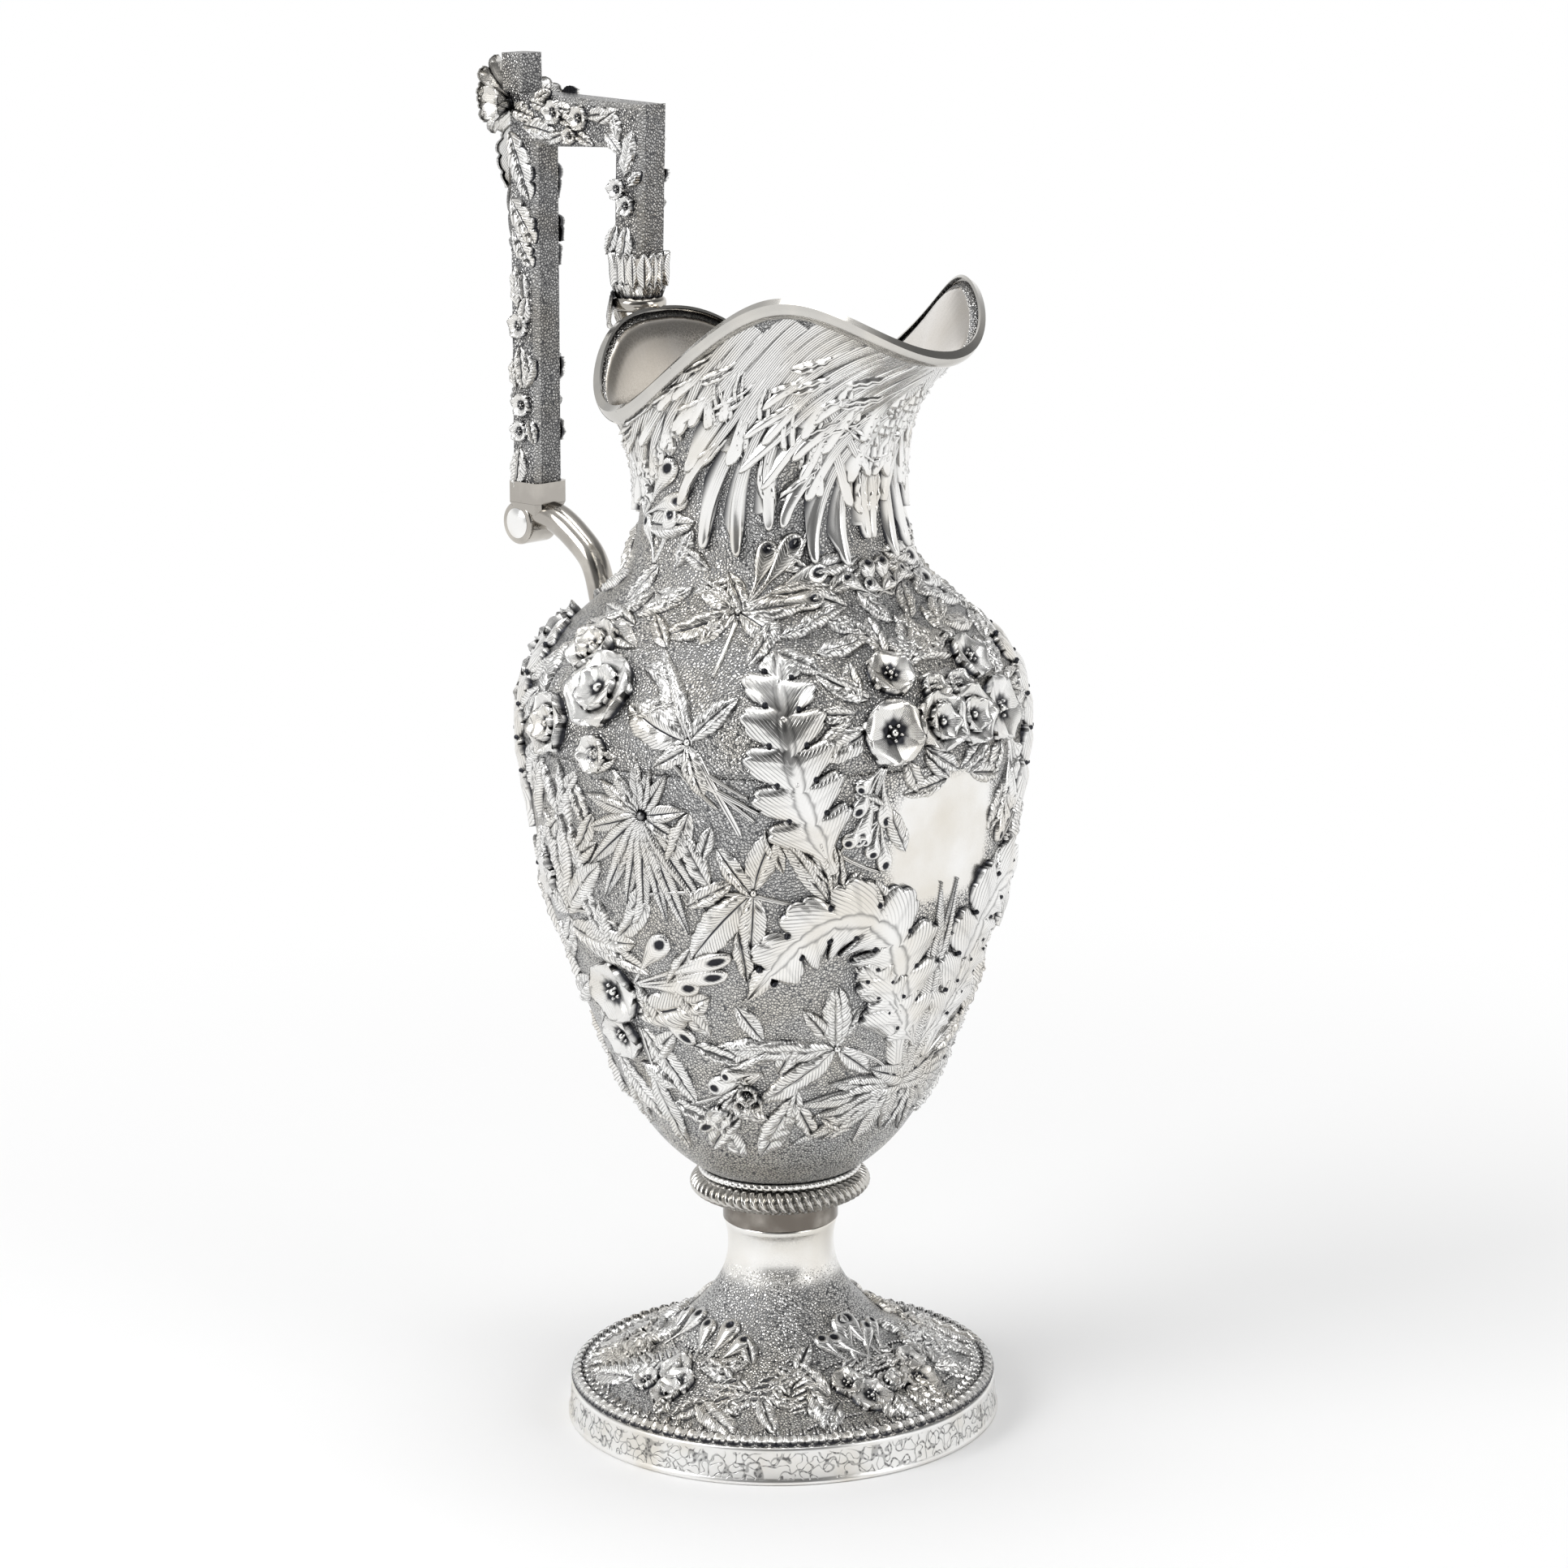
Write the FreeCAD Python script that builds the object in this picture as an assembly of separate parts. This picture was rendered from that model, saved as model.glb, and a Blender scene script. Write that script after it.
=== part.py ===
"""Repousse silver water pitcher: raised body on a trumpet foot, wavy spouted mouth, square loop handle.

Millimetres. The foot stands on z = 0, the body's axis is Z, the spout points to +X and the handle to -X.
Every piece is a separate solid, as it was raised, cast or drawn before it was soldered up.
"""
import FreeCAD
import Part
import math
import os

V = FreeCAD.Vector
UP = V(0, 0, 1)
ACROSS = V(0, 1, 0)

# ---- driving dimensions -------------------------------------------------------------------------
sheet = 1.2               # wall of the raised sheet
solder = 0.05             # film of solder between a piece and its seat
slip = 0.1                # clearance of a tube in its collar

foot_radius = 64.8        # outside of the foot band at the table
foot_band_height = 12.5
foot_band_lean = 1.4      # the band's top edge stands in by this
foot_wire_width = 3.2
foot_wire_height = 1.8
stem_radius = 15.8        # the stem at its waist
stem_top_radius = 17.2
stem_waist_rise = 39.5    # the waist above the foot band
stem_neck_rise = 8.5      # the stem's top above its waist
collar_height = 6.2       # plain collar between stem and ring
collar_wall = 2.4

ring_radius = 27.0        # outside of the gadrooned ring
ring_height = 8.4
ring_lip = 2.8            # the ring's top edge stands in from its belly by this
ring_undercut = 5.4       # and its lower edge by this
ring_bore = 14.0
rope_radius = 1.0         # rope moulding on the ring's top
rope_stand = 2.15         # its centre line outside the bowl's face

bowl_dip = 2.5            # the bowl's underside sinks into the ring's hollow top
bowl_flat_radius = 10.0
bowl_seat_radius = 20.0   # where the bowl leaves the ring
bowl_rise = 138.0         # underside to belly seam
belly_radius = 73.5
shoulder_draw_in = 6.9    # how far the body draws in from the belly to the shoulder's turn
shoulder_rise = 22.5      # that turn, above the seam
throat_radius = 37.4      # the neck at its narrowest
throat_rise = 47.5        # the throat, above the shoulder's turn

lip_radius = 52.4         # mean radius of the mouth's edge
lip_rise = 42.2           # mean height of the mouth's edge above the throat
spout_reach = 19.0        # how much further than the mean the spout stands out
lip_wave = 17.0           # rise and fall of the mouth's edge about its mean height
lip_flare = 2.2           # how sharply the lip turns out at its edge
moulding_width = 5.4      # rim moulding, measured down the lip
moulding_thickness = 1.9

handle_reach = 46.5       # from the inner leg's axis out to the grip's, at the top
mount_overhang = 6.9      # the inner leg's foot outside the lip's edge
mount_sink = 0.3          # the mount's ring is filed to sit this far down over the lip
inner_leg_lean = 2.5      # each leg's foot stands further out than its top by its lean
grip_lean = 3.0
leg_deep = 12.2           # handle tube, in the plane of the handle
leg_wide = 10.8           # handle tube, across that plane
leg_bevel = 1.5
tube_wall = 1.3
inner_leg_length = 51.0   # mount to the top of the mitred corner
bar_tall_outer = 16.0
bar_tall_inner = 12.6
grip_length = 121.4

ferrule_height = 6.4
ferrule_drop = 2.0        # the ferrule hangs below the tube's end by this
ferrule_wall = 0.9
scroll_arm_depth = 9.4    # the scroll arm's section, in the plane of the handle
scroll_arm_width = 10.2   # and across it
scroll_arm_end = 0.78     # share of that section left at the shoulder
scroll_landing = 0.62     # where the arm lands, as a share of the shoulder's rise
scroll_stand = 2.5        # the arm's axis ends this far outside the shoulder's turn
volute_radius = 6.6
volute_width = 11.4
volute_button_radius = 4.6
volute_button_height = 1.2

socket_height = 8.0       # leaf cup round the inner leg's foot
socket_floor = 1.3
socket_flare = 1.4
blossom_ring_height = 3.6
blossom_ring_radius = 7.2
mount_ring_radius = 8.0
mount_ring_height = 4.2
mount_pin_radius = 4.4    # pin that strings the mount's rings together
saddle_drop = 22.0        # the saddle runs down the lip's back by this
blossom_radius = 6.2
blossom_height = 2.8

crest_rise = 11.4         # stub above the handle's outer corner
crest_setback = 5.0       # the stub's axis stands out from the grip's by this
crest_deep = 8.8
crest_wide = 9.5
crest_leaf_height = 27.0
crest_leaf_width = 18.0
crest_leaf_thickness = 8.5
crest_cup_radius = 6.8
crest_cup_foot = 3.4
crest_cup_depth = 6.8
crest_cup_wall = 1.0
drop_leaf_length = 44.0
drop_leaf_width = 11.0
drop_leaf_thickness = 11.0

relief_height = 2.0       # the chased leaves and blossoms stand this far out of the sheet
relief_root = 0.6         # and are drawn from this deep in it

lip_sections = 48         # meridians that carry the wavy mouth

# Main chased forms of one side; the other side mirrors them. Each leaf has its angle from the spout in degrees,
# the height of its foot, its lean from upright in degrees, its length and its width; each blossom has its angle,
# height and radius. Heights and sizes are shares of the bowl's rise.
leaf_forms = (
    (33, 0.80, -8, 0.54, 0.15), (5, 0.31, -22, 0.26, 0.15), (21, 0.53, -72, 0.26, 0.15),
    (42, 0.57, -128, 0.27, 0.14), (51, 0.75, -131, 0.20, 0.08), (65, 1.07, -60, 0.17, 0.08),
    (76, 0.91, -165, 0.22, 0.14), (57, 1.29, -121, 0.16, 0.06), (105, 0.62, 96, 0.21, 0.08),
    (87, 0.46, 74, 0.20, 0.08), (117, 1.25, 88, 0.23, 0.07), (128, 0.80, -8, 0.50, 0.15),
    (126, 0.36, -110, 0.22, 0.07), (150, 0.52, -60, 0.24, 0.08), (165, 0.62, 0, 0.26, 0.08),
)
blossom_forms = ((88, 1.13, 0.070), (103, 1.06, 0.060), (16, 1.10, 0.066), (93, 0.48, 0.062), (145, 1.12, 0.068))
# Plumes that sweep down the neck from the rim: angle, height of the top as a share of the lip's rise above the
# throat, lean, length and width as shares of the same rise.
plume_forms = (
    (34, 0.88, -146, 1.05, 0.22), (16, 0.84, -152, 1.40, 0.24), (122, 0.30, -152, 0.70, 0.22),
    (144, 0.62, -160, 0.95, 0.22),
)


# ---- places worked out from them ----------------------------------------------------------------
stem_waist_height = foot_band_height + stem_waist_rise
stem_top = stem_waist_height + stem_neck_rise
ring_base = stem_top + collar_height + 2 * solder
ring_top = ring_base + ring_height
bowl_base = ring_top - bowl_dip
belly_height = bowl_base + bowl_rise
shoulder_radius = belly_radius - shoulder_draw_in
throat_height = belly_height + shoulder_rise + throat_rise
lip_height = throat_height + lip_rise


def lip_edge(angle):
    """Radius and height of the mouth's edge at an angle from the spout."""
    c = [math.cos(k * angle) for k in range(7)]
    reach = 0.44 * c[1] + 0.274 * c[2] + 0.167 * c[3] + 0.04 * c[4] + 0.045 * c[5] + 0.027 * c[6]
    wave = 0.48 * c[1] + 0.445 * c[2] - 0.542 * c[3] - 0.194 * c[4] - 0.05 * c[5] - 0.08 * c[6]
    return lip_radius + spout_reach * reach, lip_height + lip_wave * wave


back_radius, back_height = lip_edge(math.pi)
mount_x = -(back_radius + mount_overhang)
leg_top_x = mount_x + inner_leg_lean
grip_x = leg_top_x - handle_reach
mount_base = back_height - mount_sink
blossom_ring_base = mount_base + mount_ring_height + solder
socket_base = blossom_ring_base + blossom_ring_height + solder
inner_leg_foot = socket_base + socket_floor + solder
corner_top = inner_leg_foot + inner_leg_length
bar_axis = corner_top - bar_tall_inner / 2


def bar_half(x):
    """Half the top bar's height at x, which tapers from the grip to the inner leg."""
    share = (x - grip_x) / handle_reach
    return (bar_tall_outer + (bar_tall_inner - bar_tall_outer) * share) / 2


grip_top = bar_axis + bar_half(grip_x + leg_deep / 2)
grip_foot = grip_top - grip_length
ferrule_base = grip_foot - ferrule_drop
leg_size = (leg_deep, leg_wide)


def on_grip(height):
    """The point of the grip's leaning axis at a height."""
    return V(grip_x - grip_lean * (grip_top - height) / grip_length, 0, height)


def on_inner_leg(height):
    """The point of the inner leg's leaning axis at a height."""
    return V(leg_top_x - inner_leg_lean * (corner_top - height) / inner_leg_length, 0, height)


# ---- profiles and small builders ----------------------------------------------------------------
def spline(points):
    """A smooth curve through points."""
    curve = Part.BSplineCurve()
    curve.interpolate(Points=points)
    return curve


def lines(points):
    """Straight edges from each point to the next."""
    return [Part.makeLine(p, q) for p, q in zip(points, points[1:])]


def inside(curve, wall, count=28):
    """The curve that runs a wall's thickness inside an outer profile, drawn in the XZ plane."""
    found = []
    for i in range(count + 1):
        u = curve.FirstParameter + (curve.LastParameter - curve.FirstParameter) * i / count
        along = curve.tangent(u)[0]
        normal = V(-along.z, 0, along.x)
        found.append(curve.value(u) + normal * wall)
    return found


def radius_at(profile, height):
    """Radius of a rising profile where it passes a height."""
    low, high = profile.FirstParameter, profile.LastParameter
    while high - low > 1e-9:
        middle = (low + high) / 2
        if profile.value(middle).z < height:
            low = middle
        else:
            high = middle
    return profile.value(high).x


def turned(wire):
    """The solid that a closed profile in the XZ plane sweeps round the Z axis."""
    return Part.Face(wire).revolve(V(0, 0, 0), UP, 360)


def turned_polygon(corners):
    points = [V(r, 0, z) for r, z in corners]
    return turned(Part.makePolygon(points + points[:1]))


def bevelled(deep, wide, bevel, centre, along, side):
    """A rectangle with cut corners, round centre: deep is measured along one direction, wide along side."""
    a, b = deep / 2, wide / 2
    corners = [(a - bevel, -b), (a, -b + bevel), (a, b - bevel), (a - bevel, b)]
    corners += [(-x, -y) for x, y in corners]
    points = [centre + along * x + side * y for x, y in corners]
    return Part.makePolygon(points + points[:1])


def grown(size, by):
    """A (depth, width) size with the same amount added on every side."""
    return (size[0] + 2 * by, size[1] + 2 * by)


def bar(start, end, start_size, end_size, bevel, facing=UP):
    """A bevelled bar with parallel ends; each size is (depth in the handle's plane, width across it)."""
    deep = facing.cross(ACROSS)
    ends = ((start, start_size), (end, end_size))
    return Part.makeLoft([bevelled(s[0], s[1], bevel, p, deep, ACROSS) for p, s in ends], True, True)


def tube(start, end, start_size, end_size, facing=UP, closed_end=False):
    """A handle tube: the bar from start to end, bored through or with its far end left closed."""
    axis = (end - start).normalize()
    near, far = grown(start_size, -tube_wall), grown(end_size, -tube_wall)
    stop = end - axis * tube_wall if closed_end else end + axis * tube_wall
    bore = bar(start - axis * tube_wall, stop, near, far, leg_bevel * 0.7, facing)
    return bar(start, end, start_size, end_size, leg_bevel, facing).cut(bore)


def swept(points, sizes):
    """A solid with an oval section that follows points in the XZ plane; each size is (depth, width)."""
    path = spline(points)
    sections = []
    for i, (deep, wide) in enumerate(sizes):
        u = path.FirstParameter + (path.LastParameter - path.FirstParameter) * i / (len(sizes) - 1)
        centre, along = path.value(u), path.tangent(u)[0]
        across = along.cross(ACROSS)
        ring = []
        for k in range(16):
            a = 2 * math.pi * k / 16
            ring.append(centre + across * (deep / 2 * math.cos(a)) + V(0, wide / 2 * math.sin(a), 0))
        loop = Part.BSplineCurve()
        loop.interpolate(Points=ring, PeriodicFlag=True)
        sections.append(Part.Wire([loop.toShape()]))
    return Part.makeLoft(sections, True)


def dome(radius, height, centre, axis):
    """A low round button: a slice of a ball standing on centre."""
    ball_radius = (radius * radius + height * height) / (2 * height)
    axis = V(axis).normalize()
    ball = Part.makeSphere(ball_radius, centre - axis * (ball_radius - height))
    keep = Part.makeCylinder(ball_radius, height + 1, centre, axis)
    return ball.common(keep)


# ---- the body's outer profile ---------------------------------------------------------------------
def bowl_profile():
    """Outer profile of the bowl, from the edge of its flat underside up to the belly seam."""
    grow = belly_radius - bowl_seat_radius
    steps = [(0.022, 0.0), (0.087, 0.235), (0.160, 0.386), (0.197, 0.440), (0.272, 0.542), (0.345, 0.610),
             (0.455, 0.725), (0.562, 0.810), (0.707, 0.905), (0.812, 0.940), (0.917, 0.976), (1.0, 1.0)]
    points = [V(bowl_flat_radius, 0, bowl_base)]
    points += [V(bowl_seat_radius + grow * g, 0, bowl_base + bowl_rise * h) for h, g in steps]
    return spline(points)


def shoulder_points():
    """Outer profile from the belly seam over the shoulder to the throat."""
    turn = belly_height + shoulder_rise
    fall = shoulder_radius - throat_radius
    points = [V(belly_radius - shoulder_draw_in * f, 0, belly_height + shoulder_rise * h)
              for h, f in ((0, 0), (0.32, 0.10), (0.74, 0.45), (1, 1))]
    points += [V(shoulder_radius - fall * f, 0, turn + throat_rise * h)
               for h, f in ((0.10, 0.14), (0.28, 0.46), (0.47, 0.77), (0.70, 0.94), (1, 1))]
    return points


def meridian(angle, wall_in=0.0):
    """Points up the shoulder, neck and lip at an angle, wall_in inside the outer face."""
    edge_radius, edge_height = lip_edge(angle)
    throat = V(throat_radius, 0, throat_height)
    edge = V(edge_radius, 0, edge_height)
    run = edge - throat
    leave = UP * run.Length
    arrive = V(run.x * lip_flare, 0, run.z).normalize() * run.Length
    points = shoulder_points()
    steps = 7
    for i in range(1, steps + 1):
        t = i / steps
        ease = 3 * t**2 - 2 * t**3
        points.append(throat + run * ease + leave * (t**3 - 2 * t**2 + t) + arrive * (t**3 - t**2))
    if wall_in == 0:
        return points
    curve = spline(points)
    moved = []
    for p in points:
        along = curve.tangent(curve.parameter(p))[0]
        moved.append(p + V(-along.z, 0, along.x) * wall_in)
    moved[0] = V(belly_radius - wall_in, 0, belly_height)
    return moved


def round_axis(points, angle):
    """Points of the XZ plane carried round the axis."""
    c, s = math.cos(angle), math.sin(angle)
    return [V(p.x * c, p.x * s, p.z) for p in points]


def lofted_round(section_at, count=lip_sections):
    """A ring-shaped solid through one closed section per meridian."""
    sections = [section_at(2 * math.pi * k / count) for k in range(count)]
    return Part.makeLoft(sections, True, False, True)


def neck_section(angle):
    outer = round_axis(meridian(angle), angle)
    inner = round_axis(meridian(angle, sheet), angle)
    edges = [spline(outer).toShape()] + lines([outer[-1], inner[-1]])
    edges += [spline(inner[::-1]).toShape()] + lines([inner[0], outer[0]])
    return Part.Wire(edges)


def moulding_section(angle):
    """Section of the rim moulding: a half-round strip outside the lip, turned over its raw edge."""
    curve = spline(meridian(angle))
    last = curve.LastParameter
    step = 0.002 * (last - curve.FirstParameter)
    seat = []
    for share in (1.0, 0.5, 0.0):
        u = last
        while curve.length(u, last) < moulding_width * share:
            u -= step
        tangent = curve.tangent(u)[0]
        seat.append(curve.value(u) + V(tangent.z, 0, -tangent.x) * solder)
    edge = curve.value(last)
    along = curve.tangent(last)[0]
    out = V(along.z, 0, -along.x)
    middle = seat[1] + out * (moulding_thickness - solder)
    crown = edge + along * (moulding_thickness * 0.5) + out * (moulding_thickness * 0.62)
    over = edge + along * (moulding_thickness * 0.5) - out * sheet
    lap = edge + along * solder - out * sheet
    corner = seat[2] + along * solder
    face = round_axis([seat[0], middle, crown], angle)
    turn = round_axis([crown, over, lap, corner], angle)
    back = round_axis([corner, seat[1], seat[0]], angle)
    return Part.Wire([spline(face).toShape()] + lines(turn) + [spline(back).toShape()])


# ---- foot and ring ------------------------------------------------------------------------------
def foot_band_edge(height):
    """Outer radius of the foot band at a height."""
    return foot_radius - foot_band_lean * height / foot_band_height


def foot_band():
    top = foot_band_height - sheet
    outer = foot_band_edge(top)
    return turned_polygon([(foot_radius, 0), (outer, top), (outer - sheet, top), (foot_radius - sheet, 0)])


def foot_rim_wire():
    outer = foot_band_edge(foot_wire_height) - sheet - solder
    inner = outer - foot_wire_width
    return turned_polygon([(outer, 0), (outer, foot_wire_height), (inner, foot_wire_height), (inner, 0)])


def foot_dome():
    """The trumpet foot: from its edge on the band up to the collar."""
    edge = foot_band_edge(foot_band_height)
    spread = edge - stem_radius
    steps = [(0.035, 0.14), (0.125, 0.335), (0.26, 0.535), (0.40, 0.705), (0.57, 0.845), (0.73, 0.940), (1, 1)]
    points = [V(edge, 0, foot_band_height)]
    points += [V(edge - spread * s, 0, foot_band_height + stem_waist_rise * h) for h, s in steps]
    points.append(V(stem_top_radius, 0, stem_top))
    profile = spline(points)
    inner = inside(profile, sheet)
    inner[0] = V(edge, 0, foot_band_height - sheet)
    inner[-1] = V(stem_top_radius - sheet, 0, stem_top)
    edges = [profile.toShape()] + lines([points[-1], inner[-1]])
    edges += [spline(inner[::-1]).toShape()] + lines([inner[0], points[0]])
    return turned(Part.Wire(edges))


def stem_collar():
    """Plain collar that the stem is soldered to, under the ring."""
    low, high = stem_top + solder, stem_top + solder + collar_height
    inner = stem_top_radius - collar_wall
    return turned_polygon([(stem_top_radius, low), (stem_top_radius, high), (inner, high), (inner, low)])


def gadrooned_ring(bowl_mass):
    """The cast ring between stem and bowl, hollowed on top to the bowl's underside."""
    lower = V(ring_radius - ring_undercut, 0, ring_base + ring_height * 0.08)
    belly = V(ring_radius, 0, ring_base + ring_height * 0.56)
    upper = V(ring_radius - ring_lip, 0, ring_top)
    corners = [upper, V(ring_bore, 0, ring_top), V(ring_bore, 0, ring_base)]
    corners += [V(stem_top_radius, 0, ring_base), lower]
    edges = [Part.Arc(lower, belly, upper).toShape()] + lines(corners)
    return turned(Part.Wire(edges)).cut(bowl_mass)


def rope_ring(profile, bowl_mass):
    """Rope moulding that lies on the ring's top, close round the bowl's foot."""
    height = ring_top + solder + rope_radius
    rope = Part.makeTorus(radius_at(profile, height) + rope_stand, rope_radius, V(0, 0, height), UP)
    return rope.cut(bowl_mass)


# ---- body ---------------------------------------------------------------------------------------
def bowl_solid(profile):
    """The outer form of the bowl, filled: it shapes what the bowl stands on."""
    corners = [V(belly_radius, 0, belly_height), V(0, 0, belly_height), V(0, 0, bowl_base)]
    corners.append(V(bowl_flat_radius, 0, bowl_base))
    return turned(Part.Wire([profile.toShape()] + lines(corners)))


def bowl(profile):
    inner = inside(profile, sheet)
    inner[0] = V(bowl_flat_radius, 0, bowl_base + sheet)
    inner[-1] = V(belly_radius - sheet, 0, belly_height)
    floor = [inner[0], V(0, 0, bowl_base + sheet), V(0, 0, bowl_base), V(bowl_flat_radius, 0, bowl_base)]
    edges = [profile.toShape()] + lines([V(belly_radius, 0, belly_height), inner[-1]])
    edges += [spline(inner[::-1]).toShape()] + lines(floor)
    return turned(Part.Wire(edges))


def outlined(angle, height, lean, outline):
    """Prism square to the wall at an angle from the spout, with an outline drawn across and along a leaning line."""
    a, b = math.radians(angle), math.radians(lean)
    out = V(math.cos(a), -math.sin(a), 0)
    right = V(math.sin(a), math.cos(a), 0)
    along = UP * math.cos(b) + right * math.sin(b)
    across = right * math.cos(b) - UP * math.sin(b)
    start = out * (belly_radius + relief_height * 2) + UP * height
    points = [start + across * x + along * y for x, y in outline]
    face = Part.Face(Part.makePolygon(points + points[:1]))
    return face.extrude(out * -(belly_radius - throat_radius * 0.5))


def leaf_prism(angle, height, lean, length, width):
    side = [(0.3, 0.0), (1.0, 0.35), (0.6, 0.8)]
    outline = [(x * width / 2, y * length) for x, y in side] + [(0, length)]
    outline += [(-x * width / 2, y * length) for x, y in side[::-1]]
    return outlined(angle, height, lean, outline)


def blossom_prism(angle, height, radius):
    corners = [(radius * math.sin(math.pi * k / 4), radius * math.cos(math.pi * k / 4)) for k in range(8)]
    return outlined(angle, height, 0, corners)


def relief_prisms():
    """The outlines of all the main chased forms, for both sides."""
    found = []
    for angle, height, lean, length, width in leaf_forms:
        size = (length * bowl_rise, width * bowl_rise)
        found.append(leaf_prism(angle, bowl_base + height * bowl_rise, lean, *size))
    for angle, height, radius in blossom_forms:
        found.append(blossom_prism(angle, bowl_base + height * bowl_rise, radius * bowl_rise))
    for angle, height, lean, length, width in plume_forms:
        size = (length * lip_rise, width * lip_rise)
        found.append(leaf_prism(angle, throat_height + height * lip_rise, lean, *size))
    return found + [prism.mirror(V(0, 0, 0), ACROSS) for prism in found]


def bowl_skin(profile):
    """The layer outside the bowl that its chased forms are cut from."""
    outer, inner = [inside(profile, wall) for wall in (-relief_height, relief_root)]
    for line, wall in ((outer, -relief_height), (inner, relief_root)):
        line[-1] = V(belly_radius - wall, 0, belly_height)
        line[0] = V(bowl_flat_radius, 0, bowl_base + wall)
    edges = [spline(outer).toShape()] + lines([outer[-1], inner[-1]])
    edges += [spline(inner[::-1]).toShape()] + lines([inner[0], outer[0]])
    return turned(Part.Wire(edges))


def neck_skin_section(angle):
    outer, inner = [round_axis(meridian(angle, wall), angle) for wall in (-relief_height, relief_root)]
    edges = [spline(outer).toShape()] + lines([outer[-1], inner[-1]])
    edges += [spline(inner[::-1]).toShape()] + lines([inner[0], outer[0]])
    return Part.Wire(edges)


def chased(wall, skin, prisms):
    """The wall with the forms that the prisms cut out of its skin."""
    box = skin.BoundBox
    near = [p for p in prisms if p.BoundBox.ZMax > box.ZMin and p.BoundBox.ZMin < box.ZMax]
    return wall.fuse([form for prism in near for form in skin.common(prism).Solids])


def shoulder_solid():
    """The outer form of shoulder and throat, filled: it shapes what is soldered to them."""
    profile = shoulder_points()
    corners = [profile[-1], V(0, 0, throat_height), V(0, 0, belly_height), profile[0]]
    return turned(Part.Wire([spline(profile).toShape()] + lines(corners)))


# ---- handle -------------------------------------------------------------------------------------
def mitre():
    """Everything on the leg's side of the mitred corner between inner leg and top bar."""
    outer = V(leg_top_x + leg_deep / 2, 0, corner_top)
    corner = V(leg_top_x - leg_deep / 2, 0, corner_top - bar_tall_inner)
    away = outer - corner
    high, low = outer + away, corner - away
    far = high.x + handle_reach
    deep = low.z - inner_leg_length
    profile = [low, high, V(far, 0, high.z), V(far, 0, deep), V(low.x - handle_reach / 2, 0, deep)]
    points = [p - ACROSS * leg_wide for p in profile]
    return Part.Face(Part.makePolygon(points + points[:1])).extrude(ACROSS * leg_wide * 2)


def grip_mass(skin, above):
    """The grip as if it were filled, with a skin all round and more above: it shapes what is soldered to it."""
    size = grown(leg_size, skin)
    return bar(on_grip(grip_foot), on_grip(grip_top + above), size, size, leg_bevel)


def handle_grip():
    return tube(on_grip(grip_foot), on_grip(grip_top), leg_size, leg_size, closed_end=True)


def handle_top_bar():
    start, end = grip_x, leg_top_x + leg_deep / 2
    sizes = [(2 * bar_half(x), leg_wide) for x in (start, end)]
    whole = tube(V(start, 0, bar_axis), V(end, 0, bar_axis), *sizes, facing=V(1, 0, 0))
    return whole.cut(mitre()).cut(grip_mass(0, bar_tall_outer))


def handle_inner_leg():
    leg = tube(on_inner_leg(inner_leg_foot), on_inner_leg(corner_top), leg_size, leg_size)
    return leg.common(mitre())


def grip_ferrule():
    """Plain collar round the grip's foot, open below for the scroll arm's spigot."""
    bore_size = grown(leg_size, slip)
    outer_size = grown(bore_size, ferrule_wall)
    low, high = on_grip(ferrule_base), on_grip(ferrule_base + ferrule_height)
    outer, bore = [bar(low, high, s, s, leg_bevel) for s in (outer_size, bore_size)]
    return outer.cut(bore)


def volute_centre():
    return on_grip(ferrule_base) - V(leg_deep * 0.29, 0, volute_radius + solder)


def scroll_arm(shoulder_mass):
    """Plain arm that carries the grip: a head under the ferrule, then a swept arm down to the shoulder."""
    landing = V(-(shoulder_radius + scroll_stand), 0, belly_height + shoulder_rise * scroll_landing)
    seat = on_grip(ferrule_base)
    start = seat - V(leg_deep * 0.30, 0, scroll_arm_depth * 0.60)
    run, fall = landing.x - start.x, start.z - landing.z
    route = [(0, 0), (0.20, -0.05), (0.43, 0.0), (0.62, 0.115), (0.775, 0.245), (0.855, 0.38), (0.90, 0.56),
             (0.96, 0.80), (1.0, 1.05)]
    sizes = []
    for i in range(len(route)):
        share = 1 - (1 - scroll_arm_end) * i / (len(route) - 1)
        sizes.append((scroll_arm_depth * share, scroll_arm_width * share))
    arm = swept([start + V(run * a, 0, -fall * b) for a, b in route], sizes)
    head_size = grown(leg_size, slip + ferrule_wall)
    throat_size = (leg_deep * 0.8, leg_wide * 0.8)
    head = bar(seat - UP * scroll_arm_depth * 0.6, seat - UP * solder, throat_size, head_size, leg_bevel)
    spigot_size = grown(leg_size, -slip)
    spigot = bar(seat - UP, on_grip(grip_foot - solder), spigot_size, spigot_size, leg_bevel)
    return arm.fuse(head).fuse(spigot).removeSplitter().cut(shoulder_mass)


def scroll_volute(arm):
    """The rolled end of the scroll: a drum across the arm's outer end."""
    drum = Part.makeCylinder(volute_radius, volute_width, volute_centre() - ACROSS * volute_width / 2, ACROSS)
    rims = [e for e in drum.Edges if e.Curve.TypeId == "Part::GeomCircle"]
    return drum.makeFillet(volute_radius * 0.16, rims).cut(arm)


def volute_buttons():
    seat = volute_width / 2 + solder
    return [dome(volute_button_radius, volute_button_height, volute_centre() + ACROSS * y * seat, ACROSS * y)
            for y in (-1, 1)]


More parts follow.
